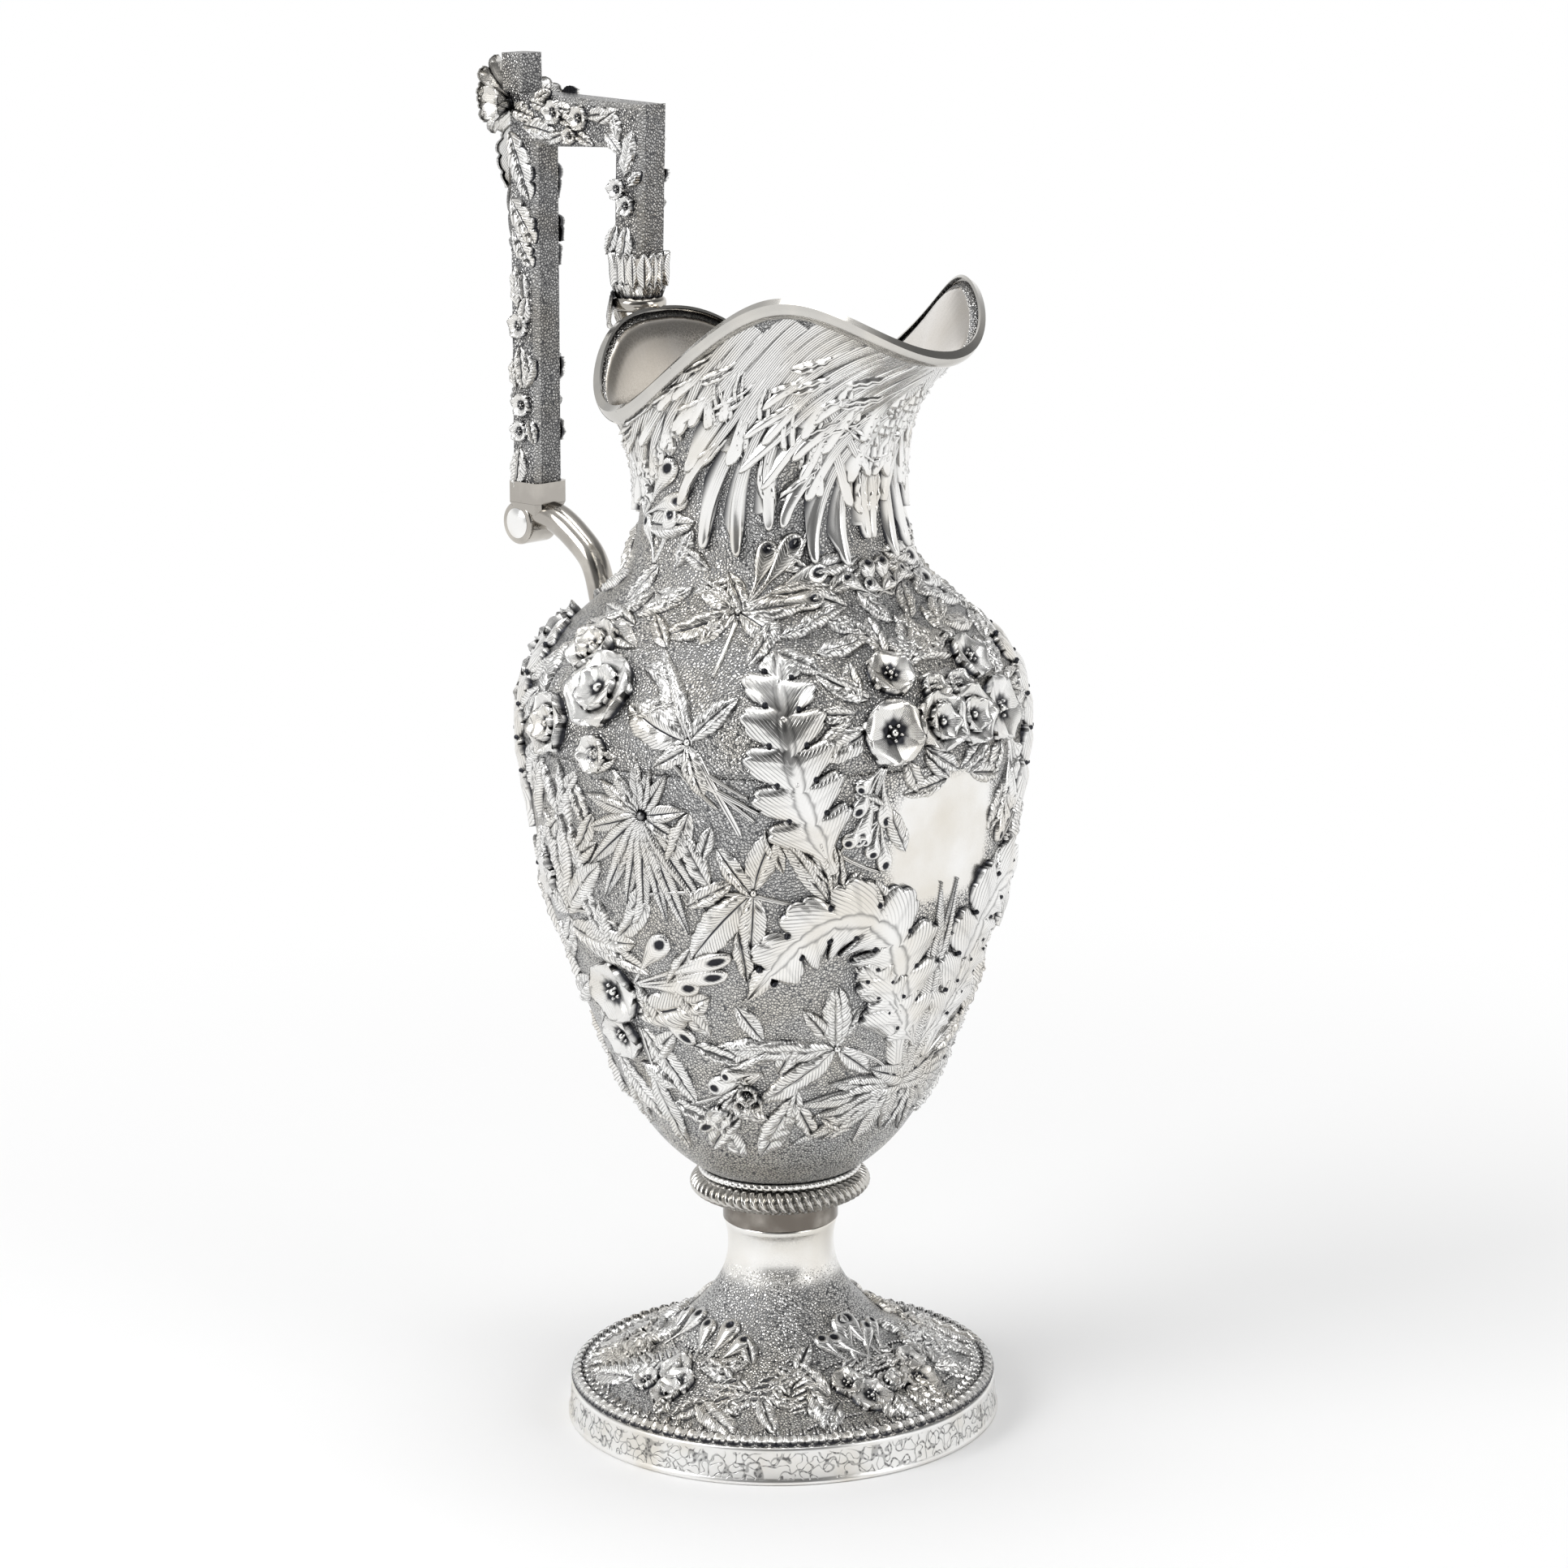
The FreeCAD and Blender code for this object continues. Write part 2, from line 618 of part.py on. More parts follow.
# ---- the inner leg's mount on the lip -------------------------------------------------------------
def leaf_socket():
    """Cup of leaves round the inner leg's foot, which stands inside it on the cup's floor."""
    low, floor, high = [on_inner_leg(socket_base + h) for h in (0, socket_floor, socket_height)]
    pocket = grown(leg_size, slip)
    wall = grown(pocket, ferrule_wall / 2)
    cup = bar(low, high, wall, grown(wall, socket_flare / 2), leg_bevel)
    return cup.cut(bar(floor, on_inner_leg(high.z + 1), pocket, pocket, leg_bevel))


def turned_ring(radius, height, base, roundness):
    """A turned ring strung on the mount's pin."""
    centre = V(mount_x, 0, base)
    bore = mount_pin_radius + slip / 2
    ring = Part.makeCylinder(radius, height, centre, UP)
    rims = [e for e in ring.Edges if e.Curve.TypeId == "Part::GeomCircle"]
    ring = ring.makeFillet(min(radius - bore, height / 2) * roundness, rims)
    return ring.cut(Part.makeCylinder(bore, height + 2, centre - UP, UP))


def mount_ring(neck, moulding):
    """The mount's lowest ring, filed away where it sits over the lip."""
    ring = turned_ring(mount_ring_radius, mount_ring_height, mount_base, 0.9)
    return max(ring.cut(neck).cut(moulding).Solids, key=lambda piece: piece.Volume)


def mount_pin():
    height = socket_base - mount_base - solder
    return Part.makeCylinder(mount_pin_radius, height, V(mount_x, 0, mount_base), UP)


def lip_saddle(neck, moulding):
    """Corbel under the mount, soldered to the back of the lip outside and below the rim moulding."""
    high = V(mount_x, 0, mount_base - solder)
    low = V(-(throat_radius + mount_ring_radius * 0.3), 0, high.z - saddle_drop)
    middle = (high + low) * 0.5
    sizes = ((high, 0.85), (middle, 0.8), (low, 0.35))
    corbel = Part.makeLoft([Part.Wire([Part.makeCircle(mount_ring_radius * r, c, UP)]) for c, r in sizes], True)
    within = [V(-p.x, 0, p.z) for p in meridian(math.pi, sheet / 2)[-7:]]
    within += [within[-1] + UP * saddle_drop, UP * high.z, UP * throat_height]
    mouth = Part.Face(Part.makePolygon(within + within[:1]))
    mouth.translate(ACROSS * -mount_ring_radius)
    corbel = corbel.cut(neck).cut(moulding).cut(mouth.extrude(ACROSS * mount_ring_radius * 2))
    return max(corbel.Solids, key=lambda piece: piece.Volume)


def mount_blossoms():
    """Two blossoms on the back of the mount, turned out to either side."""
    height = mount_base
    found = []
    for y in (-1, 1):
        axis = V(-1, y, 0).normalize()
        back = V(mount_x, 0, height) + axis * (mount_ring_radius + solder)
        stalk = Part.makeCylinder(blossom_radius * 0.5, 1, back, axis)
        found.append(dome(blossom_radius, blossom_height, back + axis * 0.8, axis).fuse(stalk))
    return found


# ---- crest on the handle's outer corner -----------------------------------------------------------
def crest_block():
    """Squared stub above the handle's outer corner."""
    low = V(grip_x - crest_setback, 0, grip_top + solder)
    size = (crest_deep, crest_wide)
    return bar(low, low + UP * crest_rise, size, size, leg_bevel * 0.6)


def leaf_solid(back, top, length, thickness, width, stations):
    """A thick leaf on an upright back; each station is its shares of length, thickness and width."""
    sections = []
    for drop, thick, wide in stations:
        deep = thickness * thick
        centre = V(back - deep / 2, 0, top - length * drop)
        sections.append(bevelled(deep, width * wide, deep * 0.3, centre, V(1, 0, 0), ACROSS))
    return Part.makeLoft(sections, True, True)


def crest_leaf():
    """Scalloped leaf round the outer corner, from the stub's top down behind the grip."""
    back = grip_x - crest_setback - crest_deep / 2 - solder
    stations = ((0.0, 0.5, 0.60), (0.22, 1.0, 0.95), (0.5, 0.9, 1.0), (0.85, 0.5, 0.6), (1.0, 0.3, 0.4))
    top = grip_top + crest_rise
    return leaf_solid(back, top, crest_leaf_height, crest_leaf_thickness, crest_leaf_width, stations)


def drop_leaf(leaf):
    """Long leaf down the grip's back from under the crest, its tip lying on the tube."""
    back = grip_x - leg_deep / 2 - solder
    top = grip_top + crest_rise - crest_leaf_height * 0.6
    stations = ((0.0, 0.85, 0.7), (0.3, 1.0, 1.0), (0.45, 0.9, 0.85), (0.53, 0.45, 0.6), (1.0, 0.32, 0.25))
    whole = leaf_solid(back, top, drop_leaf_length, drop_leaf_thickness, drop_leaf_width, stations)
    return whole.cut(leaf).cut(grip_mass(solder, solder))


def crest_blossoms(leaf):
    """Two cup blossoms that stand out of the outer corner, one to each side."""
    corner = grip_mass(solder, solder)
    foot = V(grip_x - leg_deep * 0.28, 0, grip_top - crest_cup_radius * 0.5)
    found = []
    for y in (-1, 1):
        axis = V(-0.4, y, 0).normalize()
        start = foot + ACROSS * y * (leg_wide / 2 - 1)
        cup = Part.makeCone(crest_cup_foot, crest_cup_radius, crest_cup_depth, start, axis)
        hollow = Part.makeCone(crest_cup_foot * 0.4, crest_cup_radius - crest_cup_wall, crest_cup_depth * 0.75,
                               start + axis * crest_cup_depth * 0.26, axis)
        cup = cup.cut(hollow).cut(corner).cut(leaf)
        found.append(max(cup.Solids, key=lambda piece: piece.Volume))
    return found


# ---- build --------------------------------------------------------------------------------------
def build():
    profile = bowl_profile()
    bowl_mass = bowl_solid(profile)
    neck = lofted_round(neck_section)
    moulding = lofted_round(moulding_section)
    arm = scroll_arm(shoulder_solid())
    leaf = crest_leaf()
    prisms = relief_prisms()
    return {
        "foot_rim_wire": [foot_rim_wire()],
        "foot_band": [foot_band()],
        "foot_dome": [foot_dome()],
        "stem_collar": [stem_collar()],
        "gadrooned_ring": [gadrooned_ring(bowl_mass)],
        "rope_ring": [rope_ring(profile, bowl_mass)],
        "bowl": [chased(bowl(profile), bowl_skin(profile), prisms)],
        "shoulder_and_neck": [chased(neck, lofted_round(neck_skin_section, lip_sections // 2), prisms)],
        "rim_moulding": [moulding],
        "handle_grip": [handle_grip()],
        "handle_top_bar": [handle_top_bar()],
        "handle_inner_leg": [handle_inner_leg()],
        "grip_ferrule": [grip_ferrule()],
        "scroll_arm": [arm],
        "scroll_volute": [scroll_volute(arm)],
        "volute_buttons": volute_buttons(),
        "leaf_socket": [leaf_socket()],
        "blossom_ring": [turned_ring(blossom_ring_radius, blossom_ring_height, blossom_ring_base, 0.4)],
        "mount_ring": [mount_ring(neck, moulding)],
        "mount_pin": [mount_pin()],
        "lip_saddle": [lip_saddle(neck, moulding)],
        "mount_blossoms": mount_blossoms(),
        "crest_block": [crest_block()],
        "crest_leaf": [leaf],
        "crest_blossoms": crest_blossoms(leaf),
        "drop_leaf": [drop_leaf(leaf)],
    }


os.makedirs("parts", exist_ok=True)
for node, solids in build().items():
    whole = solids[0] if len(solids) == 1 else Part.makeCompound(solids)
    whole.exportStep(os.path.join("parts", node + ".step"))
    box = whole.optimalBoundingBox()
    print("%-18s solids %d valid %s volume %9.1f  x %.1f..%.1f y %.1f..%.1f z %.1f..%.1f" % (
        node, len(whole.Solids), whole.isValid(), whole.Volume,
        box.XMin, box.XMax, box.YMin, box.YMax, box.ZMin, box.ZMax))
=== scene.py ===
import math

import bmesh
import bpy
from mathutils import Matrix, Vector
from mathutils.bvhtree import BVHTree


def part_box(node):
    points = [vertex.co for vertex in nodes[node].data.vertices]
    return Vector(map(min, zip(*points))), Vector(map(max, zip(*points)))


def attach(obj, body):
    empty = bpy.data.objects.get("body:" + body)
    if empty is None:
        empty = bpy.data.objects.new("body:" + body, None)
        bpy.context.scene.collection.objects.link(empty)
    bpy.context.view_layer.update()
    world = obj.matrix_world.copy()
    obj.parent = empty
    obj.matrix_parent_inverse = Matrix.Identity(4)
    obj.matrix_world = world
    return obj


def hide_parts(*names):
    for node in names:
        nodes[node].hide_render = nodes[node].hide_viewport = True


# Repousse silver water pitcher. The frame is in metres; sizes below are in millimetres and lifted by mm.
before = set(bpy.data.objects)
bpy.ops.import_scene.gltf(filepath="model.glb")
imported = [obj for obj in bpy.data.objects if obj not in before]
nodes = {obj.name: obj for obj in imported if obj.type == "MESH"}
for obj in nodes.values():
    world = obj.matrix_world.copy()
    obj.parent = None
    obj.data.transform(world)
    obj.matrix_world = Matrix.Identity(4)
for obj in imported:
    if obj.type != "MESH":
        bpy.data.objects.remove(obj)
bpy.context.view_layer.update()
mm = 0.001
print("frame loaded:", len(nodes), "nodes")


# finishes
class Wire:
    # one socket of a shader, so that shader maths reads as plain arithmetic
    def __init__(self, finish, socket):
        self.finish = finish
        self.socket = socket

    def maths(self, operation, *others):
        node = self.finish.tree.nodes.new("ShaderNodeMath")
        node.operation = operation
        for slot, value in zip(node.inputs, (self,) + others):
            self.finish.plug(slot, value)
        return Wire(self.finish, node.outputs[0])

    def flipped(self, operation, other):
        node = self.finish.tree.nodes.new("ShaderNodeMath")
        node.operation = operation
        self.finish.plug(node.inputs[0], other)
        self.finish.plug(node.inputs[1], self)
        return Wire(self.finish, node.outputs[0])

    def __add__(self, other):
        return self.maths("ADD", other)

    def __sub__(self, other):
        return self.maths("SUBTRACT", other)

    def __rsub__(self, other):
        return self.flipped("SUBTRACT", other)

    def __mul__(self, other):
        return self.maths("MULTIPLY", other)

    def __truediv__(self, other):
        return self.maths("DIVIDE", other)

    def __pow__(self, other):
        return self.maths("POWER", other)

    __radd__, __rmul__ = __add__, __mul__

    def sine(self):
        return self.maths("SINE")

    def size(self):
        return self.maths("ABSOLUTE")

    def least(self, other):
        return self.maths("MINIMUM", other)

    def most(self, other):
        return self.maths("MAXIMUM", other)

    def step(self, low, high):
        # 0 below low, 1 above high, smooth between
        node = self.finish.tree.nodes.new("ShaderNodeMapRange")
        node.interpolation_type = "SMOOTHSTEP"
        for slot, value in zip(node.inputs, (self, low, high, 0.0, 1.0)):
            self.finish.plug(slot, value)
        return Wire(self.finish, node.outputs[0])


class Nodes:
    # one node tree and the few ways its nodes are made
    def __init__(self, tree):
        self.tree = tree

    def plug(self, socket, value):
        if isinstance(value, Wire):
            self.tree.links.new(value.socket, socket)
        else:
            socket.default_value = value

    def add(self, kind, settings=None, inputs=None, output=0):
        node = self.tree.nodes.new("ShaderNode" + kind)
        for key, value in (settings or {}).items():
            setattr(node, key, value)
        for key, value in (inputs or {}).items():
            self.plug(node.inputs[key], value)
        return Wire(self, node.outputs[output])

    def parts(self, vector):
        node = self.tree.nodes.new("ShaderNodeSeparateXYZ")
        self.plug(node.inputs[0], vector)
        return [Wire(self, socket) for socket in node.outputs]

    def places(self):
        return self.add("TexCoord", output="Object")

    def noise(self, scale, detail=2.0, vector=None):
        inputs = {"Vector": vector or self.places(), "Scale": scale, "Detail": detail}
        return self.add("TexNoise", inputs=inputs, output="Fac")

    def cells(self, scale, feature="F1", vector=None):
        inputs = {"Vector": vector or self.places(), "Scale": scale}
        return self.add("TexVoronoi", {"feature": feature}, inputs, output="Distance")

    def blend(self, share, first, second):
        node = self.tree.nodes.new("ShaderNodeMix")
        node.data_type = "RGBA"
        self.plug(node.inputs[0], share)
        self.plug(node.inputs[6], first)
        self.plug(node.inputs[7], second)
        return Wire(self, node.outputs[2])

    def mirrored(self):
        # 1 for what the camera sees, and what silver and glass show of the room
        rays = [self.add("LightPath", output=name + " Ray") for name in ("Is Camera", "Is Glossy", "Is Transmission")]
        return rays[0].most(rays[1]).most(rays[2])


class Finish(Nodes):
    # one material, metal unless its socket is changed
    def __init__(self, name):
        self.material = bpy.data.materials.new(name)
        self.material.use_nodes = True
        super().__init__(self.material.node_tree)
        self.shader = self.tree.nodes["Principled BSDF"]
        self.shader.inputs["Metallic"].default_value = 1.0

    def worn(self, share):
        # bright silver, warmer by a share
        return self.blend(share, silverTones["bright"], silverTones["warm"])

    def shade(self, colour, roughness, height=None, depth=0.1, strength=1.0):
        self.plug(self.shader.inputs["Base Color"], colour)
        self.plug(self.shader.inputs["Roughness"], roughness)
        if height is not None:
            bump = self.add("Bump", inputs={"Height": height, "Distance": depth * mm, "Strength": strength})
            self.plug(self.shader.inputs["Normal"], bump)
        return self.material


silverTones = {
    "bright": (0.93, 0.925, 0.91, 1),
    "warm": (0.80, 0.765, 0.70, 1),
    # the next tone is tarnish and also a painted dark reflection: a darker brown base colour standing in for the dark
    # room that polished silver reflects
    "tarnish_dark_reflection": (0.44, 0.415, 0.38, 1),
    "oxide": (0.035, 0.036, 0.042, 1),
    "tarnish": (0.46, 0.40, 0.33, 1),
    "shaded": (0.60, 0.585, 0.555, 1),
    "dark": (0.17, 0.15, 0.13, 1),
    "stippleDark": (0.11, 0.112, 0.118, 1),
}
silverWork = {
    "stipple": 1150.0,          # punch marks per metre
    "stray": 0.0012,            # metres that the marks stray from even rows
    "groundCrevice": 1.6,       # mm of oxide beside each raised edge, on the ground, on leaves and on plain parts
    "leafCrevice": 1.7,
    "plainCrevice": 2.4,
}


def crevice(finish, reach):
    # 0 deep between raised forms, 1 in the open
    return finish.add("AmbientOcclusion", {"samples": 8}, {"Distance": reach * mm}, output="AO")


def punched(finish):
    # blows of the matting punch: 0 in the gaps between the grains, more towards the middle of each
    stray = finish.add("CombineXYZ", inputs={0: finish.noise(90.0, 1.0) * silverWork["stray"]})
    bent = finish.add("VectorMath", {"operation": "ADD"}, {0: finish.places(), 1: stray})
    return finish.cells(silverWork["stipple"], "DISTANCE_TO_EDGE", bent)


def mattedSilver(name, polishedAt, insideTone=0.0):
    # oxidised ground struck all over with a matting punch; polishedAt tells where it was left bare, and the
    # inside of a vessel is smooth and tarnished by insideTone
    finish = Finish(name)
    grain = punched(finish)
    clear = crevice(finish, silverWork["groundCrevice"]).step(0.1, 0.8)
    cloud = finish.noise(38.0, 3.0).step(0.35, 0.7)
    lit = grain.step(0.02, 0.18) * (0.74 + cloud * 0.26)
    height = grain.step(0.0, 0.4)
    rough = 0.40 - lit * 0.12
    x, y, z = finish.parts(finish.places())
    lit = lit * (0.80 + z.step(0.26, 0.10) * 0.20)    # painted shade: a little darker high up, in place of the lesser light falling there
    facing = finish.parts(finish.add("NewGeometry", output="Normal"))
    inward = ((x * facing[0] + y * facing[1]) / (x * x + y * y) ** 0.5).step(-0.05, -0.3)
    bare = polishedAt(finish, grain)
    if insideTone:
        bare = bare.most(inward)
    lit = (lit + bare).least(1.0) * (0.3 + clear * 0.7)
    height = height * (1 - bare)
    rough = rough - bare * 0.15
    worn = finish.blend(inward * insideTone, finish.worn(cloud), silverTones["tarnish"])
    colour = finish.blend(lit, silverTones["stippleDark"], worn)
    return finish.shade(colour, rough, height, 0.2, 0.8)


def leafSilver(name):
    # chased leaves: bright crowns, engraved veins, oxide in the cuts and down the sides
    finish = Finish(name)
    tone = finish.parts(finish.add("Attribute", {"attribute_name": "tone"}, output="Color"))
    grain = finish.parts(finish.add("Attribute", {"attribute_name": "grain"}, output="Vector"))
    across, along, spacing = grain
    slant = (along - across.size() * 0.9) / spacing
    lines = (slant * math.tau).sine() * 0.5 + 0.5
    cut = lines.step(0.34, 0.0) * tone[1]
    beads = (along * 4.2).sine() * (across * 2.6 + 0.6).sine()
    pits = beads.step(0.1, 0.6) * tone[2]
    clear = crevice(finish, silverWork["leafCrevice"]).step(0.3, 0.95)
    lit = tone[0].step(0.38, 0.9) * (1 - cut * 0.62) * (1 - pits * 0.8) * (0.12 + clear * 0.88)
    worn = finish.worn(finish.noise(45.0, 3.0).step(0.4, 0.75))
    colour = finish.blend(lit, silverTones["oxide"], worn)
    rough = 0.3 - lit * 0.14
    return finish.shade(colour, rough, 1 - cut - pits, 0.12, 0.9)


def plainSilver(name, tint="bright", polish=0.1):
    # polished silver with fine wear, a few pits and a little tarnish in its corners
    finish = Finish(name)
    smear = finish.noise(70.0, 4.0)
    scratches = finish.noise(900.0, 2.0)
    pits = finish.cells(420.0).step(0.12, 0.04) * finish.noise(95.0, 1.0).step(0.55, 0.68)
    clear = crevice(finish, silverWork["plainCrevice"]).step(0.1, 0.75)
    worn = finish.blend(smear.step(0.42, 0.75) * 0.5, silverTones[tint], silverTones["warm"])
    colour = finish.blend((1 - pits * 0.7) * (0.3 + clear * 0.7), silverTones["oxide"], worn)
    return finish.shade(colour, polish + smear * 0.1, scratches * 0.5 - pits, 0.03, 0.35)


materials = {
    "leaf": leafSilver("chased leaf"),
    "plain": plainSilver("polished silver"),
    # tarnished silver with a painted dark reflection: its darker brown base colour stands in for dark reflections of
    # the room
    "tarnish_dark_reflection": plainSilver("aged silver", "tarnish_dark_reflection", 0.08),
    "rim": plainSilver("rim silver", "shaded", 0.10),
    "collar": plainSilver("collar silver", "dark", 0.20),
}
print("finishes made:", len(materials))


# meshes and objects
def meshOf(bm, name, smoothed=True):
    mesh = bpy.data.meshes.new(name)
    bm.to_mesh(mesh)
    bm.free()
    for polygon in mesh.polygons:
        polygon.use_smooth = smoothed
    return mesh


def placed(name, data):
    thing = bpy.data.objects.new(name, data)
    bpy.context.scene.collection.objects.link(thing)
    return thing


def finished(name, mesh, material, replaced=()):
    # a finished piece: its object sits at the origin, it rides with the body and stands for the nodes replaced
    mesh.materials.clear()
    mesh.materials.append(material)
    piece = placed(name, mesh)
    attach(piece, "root")
    if replaced:
        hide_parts(*replaced)
    return piece


def turned(profile, steps, join, closed=False):
    # a surface turned round the Z axis from radii and heights, which start and end on the axis or close on themselves
    bm = bmesh.new()
    verts = [bm.verts.new(Vector((r, 0, z)) * mm) for r, z in profile]
    ends = verts[1:] + (verts[:1] if closed else [])
    edges = [bm.edges.new(pair) for pair in zip(verts, ends)]
    bmesh.ops.spin(bm, geom=verts + edges, cent=(0, 0, 0), axis=(0, 0, 1), angle=math.tau, steps=steps,
                   use_merge=True)
    bmesh.ops.remove_doubles(bm, verts=bm.verts[:], dist=join * mm)
    bmesh.ops.recalc_face_normals(bm, faces=bm.faces[:])
    return bm


# walls to draw on
class RoundWall:
    # the outside of the turned nodes: a place on it is an angle from the spout, towards -Y, and a rise along it;
    # a wall felt from inside is given its thickness, which leaves out what stands up on its outside
    turnStep = 3            # degrees between the lines felt up the wall
    leastRadius = 8         # mm; nearer the axis an angle would be too wide
    floorRadius = 12        # mm; what is felt nearer the axis is the vessel's floor
    lipMargin = 3.5         # mm below the lip where motifs end

    def __init__(self, names, start, end, aimed, steps, thickness=0.0):
        solid = bmesh.new()
        for name in names:
            solid.from_mesh(nodes[name].data)
        tree = BVHTree.FromBMesh(solid)
        solid.free()
        self.rows = []
        for around in range(0, 181, self.turnStep):
            a = math.radians(around)
            out = Vector((math.cos(a), -math.sin(a), 0))
            aim = out * aimed[0] + Vector((0, 0, aimed[1]))
            found = []
            for i in range(steps + 1):
                r, z = [p + (q - p) * i / steps for p, q in zip(start, end)]
                hit = tree.ray_cast((out * r + Vector((0, 0, z))) * mm, aim)[0]
                if hit is None and found:
                    break
                if hit is not None and hit.dot(out) > self.floorRadius * mm:
                    found.append((hit.dot(out) / mm, hit.z / mm))
            found = self.evened(found)
            if thickness:
                found = self.evened(self.moved(found, thickness))
            self.rows.append(found)

    def moved(self, points, thickness):
        # the line that runs so far outside another one
        found = []
        for i, (r, z) in enumerate(points):
            p, q = points[max(0, i - 1)], points[min(len(points) - 1, i + 1)]
            run = math.dist(p, q)
            found.append((r + (q[1] - p[1]) / run * thickness, z - (q[0] - p[0]) / run * thickness))
        return found

    def evened(self, points):
        # the same line with a point at every millimetre of its length
        even = [points[0]]
        left = 1.0
        for p, q in zip(points, points[1:]):
            run = math.dist(p, q)
            while run > left:
                p = (p[0] + (q[0] - p[0]) * left / run, p[1] + (q[1] - p[1]) * left / run)
                run -= left
                left = 1.0
                even.append(p)
            left -= run
        even.append(points[-1])
        return even

    def length(self, around):
        # the exact length of the line up the wall at an angle
        i, share = self.line(around)
        ends = [len(row) - 2 + math.dist(row[-2], row[-1]) for row in (self.rows[i], self.rows[i + 1])]
        return ends[0] + (ends[1] - ends[0]) * share

    def line(self, around):
        a = around % 360
        a = min(a, 360 - a) / self.turnStep
        i = min(int(a), len(self.rows) - 2)
        return i, a - i

    def spot(self, around, rise):
        # radius and height, and the outward direction there, at an angle and a rise
        i, share = self.line(around)
        found = []
        for row in (self.rows[i], self.rows[i + 1]):
            k = max(0, min(int(rise), len(row) - 2))
            p, q = row[k], row[k + 1]
            t = (rise - k) / max(0.05, math.dist(p, q))
            found.append((p[0] + (q[0] - p[0]) * t, p[1] + (q[1] - p[1]) * t, q[0] - p[0], q[1] - p[1]))
        r, z, dr, dz = [a + (b - a) * share for a, b in zip(*found)]
        run = math.hypot(dr, dz) or 1
        return r, z, dz / run, -dr / run

    def rise(self, around, height):
        row = self.rows[self.line(around)[0]]
        for k, point in enumerate(row):
            if point[1] >= height:
                return k
        return len(row) - 1

    def place(self, around, rise, lift):
        r, z, outR, outZ = self.spot(around, rise)
        a = math.radians(around)
        r += outR * lift
        return Vector((r * math.cos(a), -r * math.sin(a), z + outZ * lift)) * mm

    def at(self, anchor, across, along, lift):
        around, height = anchor
        rise = self.rise(around, height) + along
        r = max(self.spot(around, rise)[0], self.leastRadius)
        around -= math.degrees(across / r)
        return self.place(around, min(rise, self.length(around) - self.lipMargin), lift)


class FootWall(RoundWall):
    # places on the foot are given by their rise from its rim instead of their height
    def at(self, anchor, across, along, lift):
        around, rise = anchor[0], anchor[1] + along
        r = max(self.spot(around, rise)[0], self.leastRadius)
        return self.place(around - math.degrees(across / r), max(0.0, rise), lift)


class FlatWall:
    # one face of the handle: a place on it is so far across and so far up
    def __init__(self, corner, across, up, out):
        self.corner, self.across, self.up, self.out = [Vector(v) for v in (corner, across, up, out)]

    def at(self, anchor, across, along, lift):
        x, y = anchor[0] + across, anchor[1] + along
        return (self.corner + self.across * x + self.up * y + self.out * lift) * mm


class Seat:
    # a spot on a wall and the way a motif points from it; turn 0 is up, 90 is to the right
    def __init__(self, wall, anchor, turn=0.0, shift=(0.0, 0.0)):
        self.wall, self.anchor, self.turn, self.shift = wall, anchor, turn, shift
        self.c, self.s = math.cos(math.radians(turn)), math.sin(math.radians(turn))

    def flat(self, across, along):
        x = self.shift[0] + across * self.c + along * self.s
        y = self.shift[1] + along * self.c - across * self.s
        return x, y

    def moved(self, across, along, turn=0.0):
        return Seat(self.wall, self.anchor, self.turn + turn, self.flat(across, along))

    def point(self, across, along, lift):
        x, y = self.flat(across, along)
        return self.wall.at(self.anchor, x, y, lift)


# raised work
def bentLine(across, along, length, bend):
    # a straight strip laid along an arc that turns by bend degrees over its length
    turn = math.radians(bend) * along / length
    if abs(bend) < 0.5:
        return across, along
    radius = length / math.radians(bend)
    return radius * (1 - math.cos(turn)) + across * math.cos(turn), (radius - across) * math.sin(turn)


def hookedLine(length, bend, low, high, count=60):
    # places and headings along a line that turns by bend degrees between two shares of its length
    x, y, found = 0.0, 0.0, []
    for i in range(count + 1):
        heading = bend * smooth(i / count, low, high)
        found.append((x, y, heading))
        x += math.sin(math.radians(heading)) * length / count
        y += math.cos(math.radians(heading)) * length / count
    return found


def smooth(value, low, high):
    share = max(0.0, min(1.0, (value - low) / (high - low)))
    return share * share * (3 - 2 * share)


def pointed(s):
    return 2.6 * s**0.6 * (1 - s)**0.8


def lance(s):
    return 2.6 * s**0.5 * (1 - s)


def petalled(s):
    return (0.55 + 0.45 * smooth(s, 0.1, 0.6)) * math.sqrt(max(0.0, 1 - max(0.0, (s - 0.6) / 0.41)**2))


def rounded(s):
    return max(0.0, math.sin(math.pi * min(1.0, 0.06 + 0.92 * s)))**0.55


